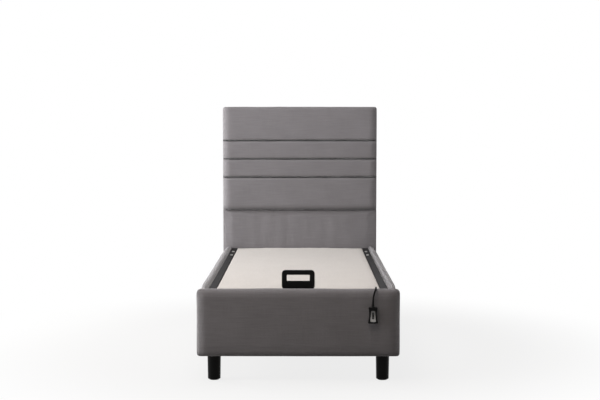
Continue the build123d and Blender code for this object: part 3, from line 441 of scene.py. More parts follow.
def stations(start, end, spacing, rounding):
    """Places along a panel: even in the middle, and closer together over the rounded ends."""
    insets = [rounding * (1 - math.cos(math.radians(angle))) for angle in (0, 15, 30, 45, 60, 75, 90)]
    inner = np.linspace(start + rounding, end - rounding, round((end - start) / spacing))
    return [*(start + inset for inset in insets), *inner[1:-1], *(end - inset for inset in reversed(insets))]


print("section tools ready")

# %% [markdown]
# ## Joining rings into a pad
# Foam under cloth could be a box with bevelled edges, but it would look like painted board. Here each pad is lofted:
# its section is repeated along its length, and the rings of points are joined into one closed skin. Where a board
# sits inside the pad, the rings leave room for it.

# %% Tools for lofting
HOLLOW_END, SOLID_START, SOLID_FROM = 0.0006, 0.0018, 0.002  # past the board's edge


def bridge(mesh, rows):
    """Joins each ring of points to the next and closes both ends."""
    count = len(rows[0])
    for row, following in zip(rows, rows[1:]):
        for here in range(count):
            there = (here + 1) % count
            mesh.faces.new((row[here], row[there], following[there], following[here]))
    mesh.faces.new(rows[0][::-1])
    mesh.faces.new(rows[-1])


def mesh_data(name, mesh):
    """Turns all faces outwards and keeps the mesh as data for an object."""
    bmesh.ops.recalc_face_normals(mesh, faces=mesh.faces)
    data = bpy.data.meshes.new(name)
    mesh.to_mesh(data)
    mesh.free()
    return data


def skin(name, rings, lengthwise, painted_shade=0.0):
    """Joins rings of points into one closed piece, and notes where each point lies on the flat cloth.

    The third part of that note is painted shade, from 0 to 1: how much a point's colour is darkened in creases and
    under rolls."""
    rings = np.array(rings, float)
    mesh = bmesh.new()
    bridge(mesh, [[mesh.verts.new(point) for point in ring] for ring in rings])
    data = mesh_data(name, mesh)
    data.shade_smooth()
    middle = rings[len(rings) // 2]
    girth = np.concatenate([[0.0], np.cumsum(np.linalg.norm(np.diff(middle, axis=0), axis=1))])
    flat = np.zeros(rings.shape)
    flat[:, :, 0] = np.array(lengthwise)[:, None]
    flat[:, :, 1] = girth[None, :]
    flat[:, :, 2] = painted_shade
    data.attributes.new("cloth", "FLOAT_VECTOR", "POINT").data.foreach_set("vector", flat.ravel())
    return add_object(name, data)


def rings_with_hollow(ring, places, edge):
    """Rings along a pad that is hollow up to an edge and solid beyond it, with a short step between them."""
    rings, lengths = [], []
    for before, place in zip([None, *places], places):
        solid = abs(place) > edge + SOLID_FROM
        if before is not None and solid != (abs(before) > edge + SOLID_FROM):
            steps = [(edge + HOLLOW_END, False), (edge + SOLID_START, True)]
            for at, filled in steps if solid else reversed(steps):
                rings.append(ring(math.copysign(at, place), filled))
                lengths.append(math.copysign(at, place))
        rings.append(ring(place, solid))
        lengths.append(place)
    return rings, lengths


print("pads are closed skins of rings")

# %% [markdown]
# ## Filling a pad
# A lofted pad is too perfect. The Cloth solver swells it a little with air pressure while the stapled edges and sewn
# lines stay held, and a cap keeps every point near its start. A few crossing waves then add the unevenness of cloth
# that was stretched by hand. Sculpting could do the same, but would not repeat from one run to the next.

# %% Tools for padding
CLOTH_SETTINGS = {
    "quality": 5,
    "tension_stiffness": 25,
    "compression_stiffness": 25,
    "shear_stiffness": 10,
    "bending_stiffness": 1.5,
    "use_pressure": True,
}
WAVES = 7


def points_of(data):
    places = np.zeros(len(data.vertices) * 3)
    data.vertices.foreach_get("co", places)
    return places.reshape(-1, 3)


def swell(piece, held, cap, pressure=4.0, frames=20):
    """Blows a pad up with the Cloth solver; held points stay, and no point moves further than the cap."""
    group = piece.vertex_groups.new(name="held")
    group.add([int(i) for i in np.flatnonzero(held > 0.5)], 1.0, "REPLACE")
    cloth = piece.modifiers.new("swell", "CLOTH")
    for setting, value in CLOTH_SETTINGS.items():
        setattr(cloth.settings, setting, value)
    cloth.settings.vertex_group_mass = group.name
    cloth.settings.uniform_pressure_force = pressure
    cloth.settings.effector_weights.gravity = 0
    cloth.point_cache.frame_start = 1
    cloth.point_cache.frame_end = frames
    for number in range(1, frames + 1):
        scene.frame_set(number)
    graph = bpy.context.evaluated_depsgraph_get()
    swollen = bpy.data.meshes.new_from_object(piece.evaluated_get(graph), depsgraph=graph)
    start = points_of(piece.data)
    step = points_of(swollen) - start
    reach = np.linalg.norm(step, axis=1)
    step *= (np.minimum(reach, cap) / np.maximum(reach, 1e-9))[:, None]
    piece.modifiers.clear()
    piece.vertex_groups.clear()
    piece.data.vertices.foreach_set("co", (start + step).ravel())
    piece.data.update()
    bpy.data.meshes.remove(swollen)
    scene.frame_set(1)
    print(piece.name, "swelled by", round(float(np.linalg.norm(step, axis=1).max()) * 1000, 1), "mm")


def rumple(piece, held, depth, seed, across=(6, 30), along=(4, 24)):
    """Adds the slight unevenness of hand-stretched cloth, as a few crossing waves along the surface."""
    count = len(piece.data.vertices)
    flat = np.zeros(count * 3)
    piece.data.attributes["cloth"].data.foreach_get("vector", flat)
    flat = flat.reshape(-1, 3)
    normals = np.zeros(count * 3)
    piece.data.vertices.foreach_get("normal", normals)
    chance = np.random.default_rng(seed)
    height = np.zeros(count)
    for wave in range(WAVES):
        sideways, upward = chance.uniform(*across), chance.uniform(*along) * chance.choice((-1, 1))
        height += np.sin(flat[:, 0] * sideways + flat[:, 1] * upward + chance.uniform(0, 6))
    height *= depth / WAVES * (1 - held)
    moved = points_of(piece.data) + normals.reshape(-1, 3) * height[:, None]
    piece.data.vertices.foreach_set("co", moved.ravel())
    piece.data.update()


def upholster(piece, node, finish):
    """Smooths a pad once, covers it in cloth and puts it where its construction solid is."""
    smooth = piece.modifiers.new("smooth", "SUBSURF")
    smooth.levels = 1
    smooth.render_levels = 1
    piece.data.materials.append(finish)
    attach(piece, frame["nodes"][node]["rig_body"])
    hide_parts(node)
    print(piece.name, len(piece.data.vertices), "points")


print("pads swell and rumple")

# %% [markdown]
# ## Box panels
# Foot panel and sides share one cross-section: a board at the inner face, thick foam on its outer face, a soft roll
# over its top edge and the cloth lapped under it. The section is drawn in the panel's own depth and height, so one
# list of points serves all three panels.

# %% Sizes of the box panels
cover_low, cover_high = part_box("foot_panel_cover")
board_low, board_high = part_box("foot_panel_board")
PANEL_DEPTH = cover_high.y - cover_low.y
PANEL_HEIGHT = cover_high.z - cover_low.z
BOARD_DEPTH = board_high.y - board_low.y
LAP = board_low.z - cover_low.z
BOARD_TOP = board_high.z - cover_low.z
FRONT_ROLL = (0.030, 0.037)
BACK_ROLL = (0.011, 0.013)
FOOT_ROLL = (0.022, 0.042)
FACE_CROWN = 0.004
SWELL_ROOM = 0.0035
SWELL_CAP = 0.0055
# Painted shade: the panels' colour darkens towards their bottom edge, up the lower part of the foot roll.
FOOT_PAINTED_SHADE = 0.55
FOOT_PAINTED_SHADE_HEIGHT = 0.6 * FOOT_ROLL[1]


def panel_face(height):
    """How far out the panel's face is at a height, before it swells."""
    return PANEL_DEPTH - SWELL_ROOM - FACE_CROWN * (2 * height / PANEL_HEIGHT - 1) ** 2


print("panel", round(PANEL_DEPTH, 4), "deep and", round(PANEL_HEIGHT, 4), "high")

# %% Section of the box panels
top_face = panel_face(PANEL_HEIGHT)
foot_face = panel_face(0)
face_heights = np.linspace(PANEL_HEIGHT - FRONT_ROLL[1], FOOT_ROLL[1], 28, endpoint=False)
panel_section, panel_hold = section_of((
    (HELD, run((0, BOARD_TOP), (0, PANEL_HEIGHT - BACK_ROLL[1]), 2)),
    (FREE, bow((BACK_ROLL[0], PANEL_HEIGHT - BACK_ROLL[1]), BACK_ROLL, 180, 90, 8)),
    (FREE, run((BACK_ROLL[0], PANEL_HEIGHT), (top_face - FRONT_ROLL[0], PANEL_HEIGHT), 2)),
    (FREE, bow((top_face - FRONT_ROLL[0], PANEL_HEIGHT - FRONT_ROLL[1]), FRONT_ROLL, 90, 0, 9)),
    (FREE, [(panel_face(height), height) for height in face_heights]),
    (FREE, bow((foot_face - FOOT_ROLL[0], FOOT_ROLL[1]), FOOT_ROLL, 0, -90, 5)),
    (HELD, run((foot_face - FOOT_ROLL[0], 0), (0, 0), 4)),
    (HELD, run((0, 0), (0, LAP), 1)),
    (BOARD, run((0, LAP), (BOARD_DEPTH, LAP), 2)),
    (BOARD, run((BOARD_DEPTH, LAP), (BOARD_DEPTH, BOARD_TOP), 8)),
    (BOARD, run((BOARD_DEPTH, BOARD_TOP), (0, BOARD_TOP), 3)),
))
panel_held = (panel_hold != FREE).astype(float)
# Painted shade on the foot panel and both sides: strongest along the bottom, gone above the foot roll's lower part.
panel_painted_shade = FOOT_PAINTED_SHADE * between(FOOT_PAINTED_SHADE_HEIGHT, 0.0, panel_section[:, 1])
around_board = panel_hold == BOARD
print("panel section of", len(panel_section), "points")

# %% [markdown]
# ## Foot panel
# The panel that faces the room is rounded at both ends and at its corners. Its rings run across the bed; past the
# ends of its board they are solid padding. The ends stay held while the face swells.

# %% Foot panel
PANEL_END = (0.044, 0.038)
PANEL_TOP_CORNER = (0.024, 0.022)
PANEL_FOOT_CORNER = (0.016, 0.015)
FOOT_HELD_END = 0.004


def foot_ring(x, solid):
    """The panel's outline at one place across the bed; past the board's ends it is solid padding."""
    inset = cover_high.x - abs(x)
    out, up = panel_section[:, 0].copy(), panel_section[:, 1].copy()
    if solid:
        out[around_board] = 0.0
    out -= draw_in(*PANEL_END, inset) * between(BOARD_DEPTH, PANEL_DEPTH, out)
    up -= draw_in(*PANEL_TOP_CORNER, inset) * between(PANEL_HEIGHT / 2, PANEL_HEIGHT, up)
    up += draw_in(*PANEL_FOOT_CORNER, inset) * between(PANEL_HEIGHT / 2, 0, up)
    return np.column_stack([np.full(len(out), x), cover_high.y - out, cover_low.z + up])


foot_x = stations(cover_low.x, cover_high.x, 0.012, PANEL_END[0])
foot_rings, foot_lengths = rings_with_hollow(foot_ring, foot_x, board_high.x)
foot_cover = skin("foot_panel_upholstery", foot_rings, foot_lengths, panel_painted_shade)
foot_held = np.tile(panel_held, len(foot_rings))
at_ends = np.abs(np.repeat(foot_lengths, len(panel_section))) > cover_high.x - FOOT_HELD_END
swell(foot_cover, np.maximum(foot_held, at_ends), SWELL_CAP)
rumple(foot_cover, foot_held, depth=0.0020, seed=3)
upholster(foot_cover, "foot_panel_cover", upholstery)

# %% [markdown]
# ## Side panels
# The two long sides butt against the foot panel and the headboard, so their ends are only slightly rounded. Mirroring
# one side would be quicker, but both would then show the same ripples, so each is built and rumpled by itself.

# %% Side panels
SIDE_END = (0.006, 0.005)
SIDE_HELD_END = 0.002


def side_ring(y, side, board_side, inset):
    """The panel's outline at one place along the bed, on one side of it."""
    back = draw_in(*SIDE_END, inset)
    out, up = panel_section[:, 0].copy(), panel_section[:, 1].copy()
    out -= back * between(BOARD_DEPTH, PANEL_DEPTH, out)
    up -= back * between(PANEL_HEIGHT / 2, PANEL_HEIGHT, up)
    return np.column_stack([side * (board_side + out), np.full(len(out), y), cover_low.z + up])


for word, side in (("left", -1), ("right", 1)):
    low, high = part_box(f"side_cover_{word}")
    board_side = min(abs(low.x), abs(high.x))
    side_y = stations(low.y, high.y, 0.016, SIDE_END[0])
    insets = [min(y - low.y, high.y - y) for y in side_y]
    rings = [side_ring(y, side, board_side, inset) for y, inset in zip(side_y, insets)]
    side_cover = skin(f"side_panel_upholstery_{word}", rings, side_y, panel_painted_shade)
    side_held = np.tile(panel_held, len(rings))
    near_ends = np.repeat([inset < SIDE_HELD_END for inset in insets], len(panel_section))
    swell(side_cover, np.maximum(side_held, near_ends), SWELL_CAP)
    rumple(side_cover, side_held, depth=0.0008, seed=11 + side)
    upholster(side_cover, f"side_cover_{word}", upholstery)

# %% [markdown]
# ## Headboard
# The upper pad is sewn into four channels, tall, narrow, narrow and tall, and stands proud of the plain pad below
# it. A channel is nearly flat and rolls away steeply into its sewn line, so each line is drawn as two quarter
# rounds that meet in a crease. Points crowd near a crease, and its deepest ones are held while the channels swell.

# %% Levels of the upper pad's face
pad_low, pad_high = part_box("headboard_upper_pad")
frame_low, frame_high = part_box("headboard_face_board")
SEAM_HEIGHTS = (0.9185, 1.038, 1.158)
CREASE = (0.015, 0.028)
NEAR_SEAM = np.array([0.0012, 0.003, 0.0055, 0.0085, 0.0125])
SEAM_ROOM = 0.016
PAD_FOOT_ROLL = (0.022, 0.042)
PAD_TOP_ROLL = (0.018, 0.020)
pad_face = pad_low.y + SWELL_ROOM
face_low = pad_low.z + PAD_FOOT_ROLL[1]
face_high = pad_high.z - PAD_TOP_ROLL[1]
face_levels = set(np.linspace(face_low, face_high, 52, endpoint=False))
for seam in SEAM_HEIGHTS:
    face_levels = {level for level in face_levels if abs(level - seam) > SEAM_ROOM}
    face_levels |= {seam, *(seam + NEAR_SEAM), *(seam - NEAR_SEAM)}
face_levels = np.array(sorted(face_levels))
from_seam = np.min([np.abs(face_levels - seam) for seam in SEAM_HEIGHTS], axis=0)
print("face of", len(face_levels), "levels with", len(SEAM_HEIGHTS), "sewn lines")

# %% Upper pad's section
HELD_DEPTH = 0.95 * CREASE[1]
# Painted shade: the colour darkens in a band along each sewn crease, and under the pad up its foot roll.
CREASE_SHADE_REACH = (0.0026, 0.0068)
UNDER_PAINTED_SHADE = (0.9, 0.9, 0.9, 0.9, 0.9, 0.75, 0.55, 0.38, 0.24, 0.14, 0.06)  # from the underside up the foot roll
pad_section, pad_hold = section_of((
    (HELD, run((frame_low.y, pad_low.z), (pad_face + PAD_FOOT_ROLL[0], pad_low.z), 4)),
    (FREE, bow((pad_face + PAD_FOOT_ROLL[0], face_low), PAD_FOOT_ROLL, -90, -180, 8)),
    (FACE, [(pad_face, level) for level in face_levels]),
    (FREE, bow((pad_face + PAD_TOP_ROLL[0], face_high), PAD_TOP_ROLL, 180, 90, 8)),
    (FREE, run((pad_face + PAD_TOP_ROLL[0], pad_high.z), (pad_high.y, pad_high.z), 6)),
    (HELD, run((pad_high.y, pad_high.z), (pad_high.y, frame_high.z), 2)),
    (BOARD, run((pad_high.y, frame_high.z), (frame_low.y, frame_high.z), 3)),
    (BOARD, run((frame_low.y, frame_high.z), (frame_low.y, pad_low.z), 14)),
))
pad_dip = np.zeros(len(pad_section))
pad_dip[pad_hold == FACE] = draw_in(*CREASE, from_seam)
pad_held = np.isin(pad_hold, (HELD, BOARD)) | (pad_dip > HELD_DEPTH)
# Painted shade: full at each sewn line, gone a few millimetres from it, and listed values under the pad.
pad_painted_shade = np.zeros(len(pad_section))
pad_painted_shade[pad_hold == FACE] = 1 - between(*CREASE_SHADE_REACH, from_seam)
pad_painted_shade[: len(UNDER_PAINTED_SHADE)] = UNDER_PAINTED_SHADE
pad_hollow = pad_hold == BOARD
pad_hollow[0] = True
print("upper pad section of", len(pad_section), "points")

# %% [markdown]
# ## Upper pad
# The ends of the pad are rounded, and the sewn lines turn round them and get shallower on the way. Sinking a line
# straight back would pinch the end, so there it sinks along the rounded surface's own normal.

# %% Upper pad
PAD_END = (0.050, 0.043)
PAD_TOP_CORNER = (0.018, 0.016)
CORNER_HEIGHT = 0.1
END_CREASE = 0.3
FULL_CREASE = 0.030
STEEPEST = 0.98
SHADE_FADE_END = 0.004
PAD_HELD_END = 0.003
SEAM_FREE_END = 0.012


def pad_ring(x, solid):
    """The channelled outline at one place across the headboard."""
    inset = pad_high.x - abs(x)
    depth, up = pad_section[:, 0].copy(), pad_section[:, 1].copy()
    if solid:
        depth[pad_hollow] = pad_high.y
    depth += draw_in(*PAD_END, inset) * between(frame_low.y, pad_low.y, depth)
    short = min(max(1 - inset / PAD_END[0], 0.0), STEEPEST)
    lean = math.atan(PAD_END[1] / PAD_END[0] * short / math.sqrt(1 - short**2))
    sunk = pad_dip * (END_CREASE + (1 - END_CREASE) * between(0.0, FULL_CREASE, inset))
    depth += sunk * math.cos(lean)
    up -= draw_in(*PAD_TOP_CORNER, inset) * between(pad_high.z - CORNER_HEIGHT, pad_high.z, up)
    return np.column_stack([x - math.copysign(1, x) * sunk * math.sin(lean), depth, up])


pad_x = stations(pad_low.x, pad_high.x, 0.012, PAD_END[0])
pad_rings, pad_lengths = rings_with_hollow(pad_ring, pad_x, frame_high.x)
# The painted shade of the creases and underside is halved at the pad's very ends and full a few millimetres in.
painted_shade_reach = between(-SHADE_FADE_END, SHADE_FADE_END, pad_high.x - np.abs(pad_lengths))
upper_pad = skin("headboard_channels", pad_rings, pad_lengths, np.outer(painted_shade_reach, pad_painted_shade))
pad_inset = pad_high.x - np.abs(np.repeat(pad_lengths, len(pad_section)))
sewn = np.tile(pad_held, len(pad_rings)) * (pad_inset > SEAM_FREE_END)
upper_held = np.maximum(sewn, pad_inset < PAD_HELD_END).astype(float)
swell(upper_pad, upper_held, SWELL_CAP)
rumple(upper_pad, upper_held, depth=0.0020, seed=21)
upholster(upper_pad, "headboard_upper_pad", upholstery)

# %% [markdown]
# ## Lower pad
# Below the channels the headboard is one plain pad, thinner and a little crowned. Its cloth is pulled down behind the
# deck, which leaves narrow upright ripples, so its waves are short across and long upwards.

# %% Lower pad's section
base_low, base_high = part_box("headboard_lower_pad")
LOWER_ROLL = 0.008
LOWER_CROWN = 0.004
lower_face = base_low.y + SWELL_ROOM
lower_heights = np.linspace(base_low.z + LOWER_ROLL, base_high.z - LOWER_ROLL, 44, endpoint=False)
lower_middle = (base_low.z + base_high.z) / 2
lower_half = (base_high.z - base_low.z) / 2


def lower_front(height):
    """Where the crowned face is at a height."""
    return lower_face + LOWER_CROWN * ((height - lower_middle) / lower_half) ** 2


lower_edge = lower_front(base_low.z)
lower_section, lower_hold = section_of((
    (HELD, run((frame_low.y, base_low.z), (lower_edge + LOWER_ROLL, base_low.z), 3)),
    (FREE, bow((lower_edge + LOWER_ROLL, base_low.z + LOWER_ROLL), (LOWER_ROLL, LOWER_ROLL), -90, -180, 4)),
    (FREE, [(lower_front(height), height) for height in lower_heights]),
    (FREE, bow((lower_edge + LOWER_ROLL, base_high.z - LOWER_ROLL), (LOWER_ROLL, LOWER_ROLL), 180, 90, 4)),
    (HELD, run((lower_edge + LOWER_ROLL, base_high.z), (frame_low.y, base_high.z), 3)),
    (BOARD, run((frame_low.y, base_high.z), (frame_low.y, base_low.z), 16)),
))
lower_hollow = lower_hold == BOARD
lower_hollow[0] = True
print("lower pad section of", len(lower_section), "points")

# %% Lower pad
LOWER_END = (0.040, 0.020)
LOWER_HELD_END = 0.004
LOWER_SWELL_CAP = 0.004


def lower_ring(x, solid):
    """The plain outline at one place across the headboard."""
    inset = base_high.x - abs(x)
    depth, up = lower_section[:, 0].copy(), lower_section[:, 1].copy()
    if solid:
        depth[lower_hollow] = base_high.y
    depth += draw_in(*LOWER_END, inset) * between(frame_low.y, base_low.y, depth)
    return np.column_stack([np.full(len(depth), x), depth, up])


lower_x = stations(base_low.x, base_high.x, 0.014, LOWER_END[0])
lower_rings, lower_lengths = rings_with_hollow(lower_ring, lower_x, frame_high.x)
lower_pad = skin("headboard_lower_upholstery", lower_rings, lower_lengths)
lower_inset = base_high.x - np.abs(np.repeat(lower_lengths, len(lower_section)))
lower_held = np.maximum(np.tile((lower_hold != FREE).astype(float), len(lower_rings)), lower_inset < LOWER_HELD_END)
swell(lower_pad, lower_held, LOWER_SWELL_CAP)
rumple(lower_pad, lower_held, depth=0.0016, seed=31, across=(30, 75), along=(2, 9))
upholster(lower_pad, "headboard_lower_pad", upholstery)

# %% [markdown]
# ## Deck cover
# The mattress lies on a beige cloth over thin foam, stapled under the deck board. It is almost flat: a slight crown
# between the rails and softly rounded edges. A plane would do from far away, but not when the deck is lifted.

# %% Deck cover's section
deck_low, deck_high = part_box("deck_cover")
DECK_ROLL = 0.004
DECK_CROWN = 0.0025
DECK_SWELL_ROOM = 0.0008
deck_half = deck_high.x
deck_edge = deck_high.z - DECK_CROWN - DECK_SWELL_ROOM


def deck_top(x):
    """How high the cloth lies at a place across the deck."""
    return deck_edge + DECK_CROWN * (1 - (x / deck_half) ** 2)


deck_across = np.linspace(-deck_half + DECK_ROLL, deck_half - DECK_ROLL, 60, endpoint=False)
deck_section, deck_hold = section_of((
    (HELD, run((deck_half, deck_low.z), (-deck_half, deck_low.z), 20)),
    (HELD, run((-deck_half, deck_low.z), (-deck_half, deck_edge - DECK_ROLL), 2)),
    (FREE, bow((-deck_half + DECK_ROLL, deck_edge - DECK_ROLL), (DECK_ROLL, DECK_ROLL), 180, 90, 4)),
    (FREE, [(x, deck_top(x)) for x in deck_across]),
    (FREE, bow((deck_half - DECK_ROLL, deck_edge - DECK_ROLL), (DECK_ROLL, DECK_ROLL), 90, 0, 4)),
    (HELD, run((deck_half, deck_edge - DECK_ROLL), (deck_half, deck_low.z), 2)),
))
print("deck section of", len(deck_section), "points")

# %% Deck cover
DECK_SWELL_CAP = 0.0012


def deck_ring(y):
    """The cloth's outline at one place along the deck."""
    inset = min(y - deck_low.y, deck_high.y - y)
    across, up = deck_section[:, 0].copy(), deck_section[:, 1].copy()
    up -= draw_in(DECK_ROLL, DECK_ROLL, inset) * between(deck_low.z, deck_edge, up)
    return np.column_stack([across, np.full(len(up), y), up])


deck_y = stations(deck_low.y, deck_high.y, 0.016, DECK_ROLL)
deck_cover = skin("deck_cloth_cover", [deck_ring(y) for y in deck_y], deck_y)
deck_held = np.tile((deck_hold == HELD).astype(float), len(deck_y))
swell(deck_cover, deck_held, DECK_SWELL_CAP)
rumple(deck_cover, deck_held, depth=0.0012, seed=41)
upholster(deck_cover, "deck_cover", deck_cloth)

# %% [markdown]
# ## Coats, plastics and rubber
# The hard pieces keep their construction shapes and only get a finish. Powder coat, lacquer, moulded plastic and
# rubber are one family: a dense colour with a fine grain, small changes of gloss and a hint of dust. One function
# makes them all, because they differ only in colour, gloss and the size of the grain.

# %% Coats, plastics and rubber
DUST_SCALE = 14.0
DUST_FROM = (0.45, 0.75)


def coat(name, colour, roughness, grain, depth, uniform=None):
    """A dense coloured coat with a fine grain; grain is in bumps per metre and depth in metres."""
    paint = Finish(name, uniform or {})
    place = paint.place()
    cloud = paint.noise(place, DUST_SCALE, 4.0)
    speckle = paint.noise(place, grain, 2.0, 0.6)
    dust = paint.ramp(cloud, *DUST_FROM)
    lifted = [min(1.0, 1.25 * part + 0.006) for part in colour[:3]]
    paint.vary("Base Color", paint.blend(0.55 * dust + 0.35 * speckle, colour, rgb(*lifted)))
    paint.vary("Roughness", roughness + 0.12 * (cloud - 0.5) + 0.10 * (speckle - 0.5))
    paint.relief(speckle, depth)
    return paint.material


def dress(slot, material):
    """Gives one finish to every construction piece of a material slot."""
    nodes = [part["node"] for part in frame["record"]["subparts"] if part["material_slot"] == slot]
    for node in nodes:
        data = frame["nodes"][node].data
        data.materials.clear()
        data.materials.append(material)
    print(material.name, "on", len(nodes), "pieces")


dull = {"Specular IOR Level": 0.3}
faint = {"Specular IOR Level": 0.06}
handset_plastic = coat("handset_plastic", rgb(0.002, 0.002, 0.002), 0.45, 1600, 0.0001, faint)
dress("deck_steel", coat("charcoal_powder_coat", rgb(0.015, 0.0142, 0.0148), 0.6, 900, 0.0002, faint))
dress("lift_steel", coat("black_powder_coat", rgb(0.018, 0.018, 0.020), 0.5, 900, 0.0002, dull))
dress("leg_plates", coat("black_plate_steel", rgb(0.02, 0.02, 0.02), 0.5, 600, 0.0001, dull))
dress("leg_black", coat("black_lacquer", rgb(0.0015, 0.0015, 0.0015), 0.32, 260, 0.00006, faint))
dress("black_plastic", coat("black_grained_plastic", rgb(0.003, 0.003, 0.003), 0.5, 1300, 0.0002, faint))
dress("drive_plastic", coat("grey_grained_plastic", rgb(0.045, 0.045, 0.050), 0.55, 1300, 0.0002, dull))
dress("motor", coat("motor_paint", rgb(0.035, 0.035, 0.037), 0.42, 500, 0.0001))
dress("buffer_rubber", coat("red_brown_rubber", rgb(0.26, 0.040, 0.028), 0.75, 700, 0.0002, dull))
dress("handset_black", handset_plastic)
dress("button_dark", coat("button_rubber", rgb(0.008, 0.008, 0.009), 0.6, 1600, 0.0001, dull))
cord_curve.materials.append(coat("cord_jacket", rgb(0.002, 0.002, 0.002), 0.5, 1200, 0.0001, faint))

# %% [markdown]
# ## Bare metal and the handset's plate
# Bolts, pins and studs are zinc plated: a metal whose brushed lines and stains change its gloss and colour. The
# handset's plate is painted with fine upright lines and with painted light and shade: lighter at its foot, darker
# towards its top. A ramp over its height paints that; a lamp could, but the plate would then change when the
# handset is seen from another side.

# %% Zinc and plate
zinc = Finish("zinc_plate", {"Metallic": 1.0})
brushed = zinc.streaks(zinc.place(), (900.0, 900.0, 60.0), 3.0)
stain = zinc.noise(zinc.place(), 60.0, 3.0)
zinc.vary("Base Color", zinc.blend(stain, rgb(0.50, 0.50, 0.48), rgb(0.72, 0.72, 0.71)))
zinc.vary("Roughness", 0.28 + 0.25 * brushed)
zinc.relief(brushed, 0.0001)
dress("fasteners", zinc.material)

plate = Finish("brushed_grey_plate", {"Specular IOR Level": 0.4})
plate_low, plate_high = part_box("handset_plate")
plate_height = plate.node("SeparateXYZ", None, {0: plate.place()}, output=2)
lines = plate.streaks(plate.place(), (2500.0, 1.0, 120.0), 2.0)
# Painted light and shade: the plate's colour goes from light grey at its foot to near black at its top.
upper = plate.ramp(plate_height, plate_low.z, plate_high.z)
plate.vary("Base Color", plate.blend(upper + 0.3 * (lines - 0.5), rgb(0.46, 0.46, 0.46), rgb(0.10, 0.10, 0.10)))
plate.vary("Roughness", 0.35 + 0.2 * lines)
plate.relief(lines, 0.0001)
dress("handset_grey", plate.material)

# %% [markdown]
# ## Lining, board and timber
# The back of the headboard is closed with a dark felted lining, made from stretched noise. Raw board is pressed from
# chips, and the cells of a Voronoi texture have their shape. Softwood has growth rings: sine lines over noise that is
# stretched along the grain, which costs less than a picture of wood and never repeats.

# %% Lining
lining = Finish("black_lining", {"Specular IOR Level": 0.1, "Sheen Weight": 0.2})
fibres = lining.streaks(lining.place(), (700.0, 700.0, 260.0), 4.0, 0.7)
lining.vary("Base Color", lining.blend(fibres, rgb(0.026, 0.026, 0.028), rgb(0.090, 0.090, 0.094)))
lining.vary("Roughness", 0.85 + 0.1 * fibres)
lining.relief(fibres, 0.0004)
dress("back_lining", lining.material)

# %% Board and timber
chips = Finish("pressed_board", {"Specular IOR Level": 0.2})
cells = chips.node("TexVoronoi", None, {"Vector": chips.place(), "Scale": 260.0, "Randomness": 1.0}, output="Color")
tone = chips.node("SeparateColor", None, {0: cells})
grime = chips.noise(chips.place(), 6.0, 4.0)
mixed_tone = 0.7 * tone + 0.5 * (grime - 0.3)
chips.vary("Base Color", chips.blend(mixed_tone, rgb(0.20, 0.105, 0.065), rgb(0.42, 0.25, 0.155)))
chips.vary("Roughness", 0.75 + 0.15 * tone)
chips.relief(tone, 0.0002)
dress("panel_board", chips.material)

timber = Finish("planed_softwood", {"Specular IOR Level": 0.25})
wander = timber.noise(timber.place(), 3.0, 2.0)
growth = timber.streaks(timber.place(), (1.5, 26.0, 26.0), 4.0)
ring_lines = timber.function("SINE", 60.0 * growth + 9.0 * wander)
pore = timber.streaks(timber.place(), (30.0, 900.0, 900.0), 2.0)
ring_tone = 0.5 + 0.3 * ring_lines + 0.4 * (pore - 0.5)
timber.vary("Base Color", timber.blend(ring_tone, rgb(0.34, 0.19, 0.085), rgb(0.58, 0.39, 0.21)))
timber.vary("Roughness", 0.6 + 0.2 * pore)
timber.relief(pore + 0.5 * ring_lines, 0.0002)
dress("timber", timber.material)

# %% [markdown]
# ## Staples of the back lining
# The lining is stapled to the back of the headboard all round. A staple is a flat wire bent twice, so each is drawn
# as a strip that rises from the lining, runs along its edge and goes back in. All of them form one piece, because
# nobody moves a single staple, and each one leans a little differently, as a hand-held stapler leaves them.

# %% One staple
STAPLE_LENGTH = 0.010
STAPLE_WIDTH = 0.0013
STAPLE_RISE = 0.0007
STAPLE_LEAD = 0.0012
STAPLE_SINK = 0.0004
STAPLE_TAPER = 0.6
back_low, back_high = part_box("headboard_back_panel")


def staple(mesh, centre, turn):
    """A bent flat wire on the lining's back face, with its middle at a place and turned by an angle."""
    half, wide = STAPLE_LENGTH / 2, STAPLE_WIDTH / 2
    narrow, bend = STAPLE_TAPER * wide, half - STAPLE_LEAD
    rows = []
    for along, rise in ((-half, 0.0), (-bend, STAPLE_RISE), (bend, STAPLE_RISE), (half, 0.0)):
        ring = []
        for across, lift in ((-wide, 0.0), (wide, 0.0), (narrow, -STAPLE_SINK), (-narrow, -STAPLE_SINK)):
            x = along * math.cos(turn) - across * math.sin(turn)
            z = along * math.sin(turn) + across * math.cos(turn)
            ring.append(mesh.verts.new((centre[0] + x, back_high.y + rise + lift, centre[1] + z)))
        rows.append(ring)
    bridge(mesh, rows)


print("a staple is", round(STAPLE_LENGTH * 1000, 1), "mm long")

# %% Rows of staples
STAPLE_SPACING = 0.048
STAPLE_INSET = 0.011
ROW_END, COLUMN_END = 0.03, 0.05
STAPLE_LEAN = 0.05
hand = np.random.default_rng(5)
staple_mesh = bmesh.new()
across_count = round((back_high.x - back_low.x) / STAPLE_SPACING)
upright_count = round((back_high.z - back_low.z) / STAPLE_SPACING)
for x in np.linspace(back_low.x + ROW_END, back_high.x - ROW_END, across_count):
    for z in (back_low.z + STAPLE_INSET, back_high.z - STAPLE_INSET):
        staple(staple_mesh, (x, z), hand.normal(0, STAPLE_LEAN))
for z in np.linspace(back_low.z + COLUMN_END, back_high.z - COLUMN_END, upright_count):
    for x in (back_low.x + STAPLE_INSET, back_high.x - STAPLE_INSET):
        staple(staple_mesh, (x, z), math.pi / 2 + hand.normal(0, STAPLE_LEAN))
staple_data = mesh_data("lining_staples", staple_mesh)
staple_data.materials.append(zinc.material)
staples = add_object("lining_staples", staple_data)
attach(staples, "base")
print("staples", 2 * (across_count + upright_count))

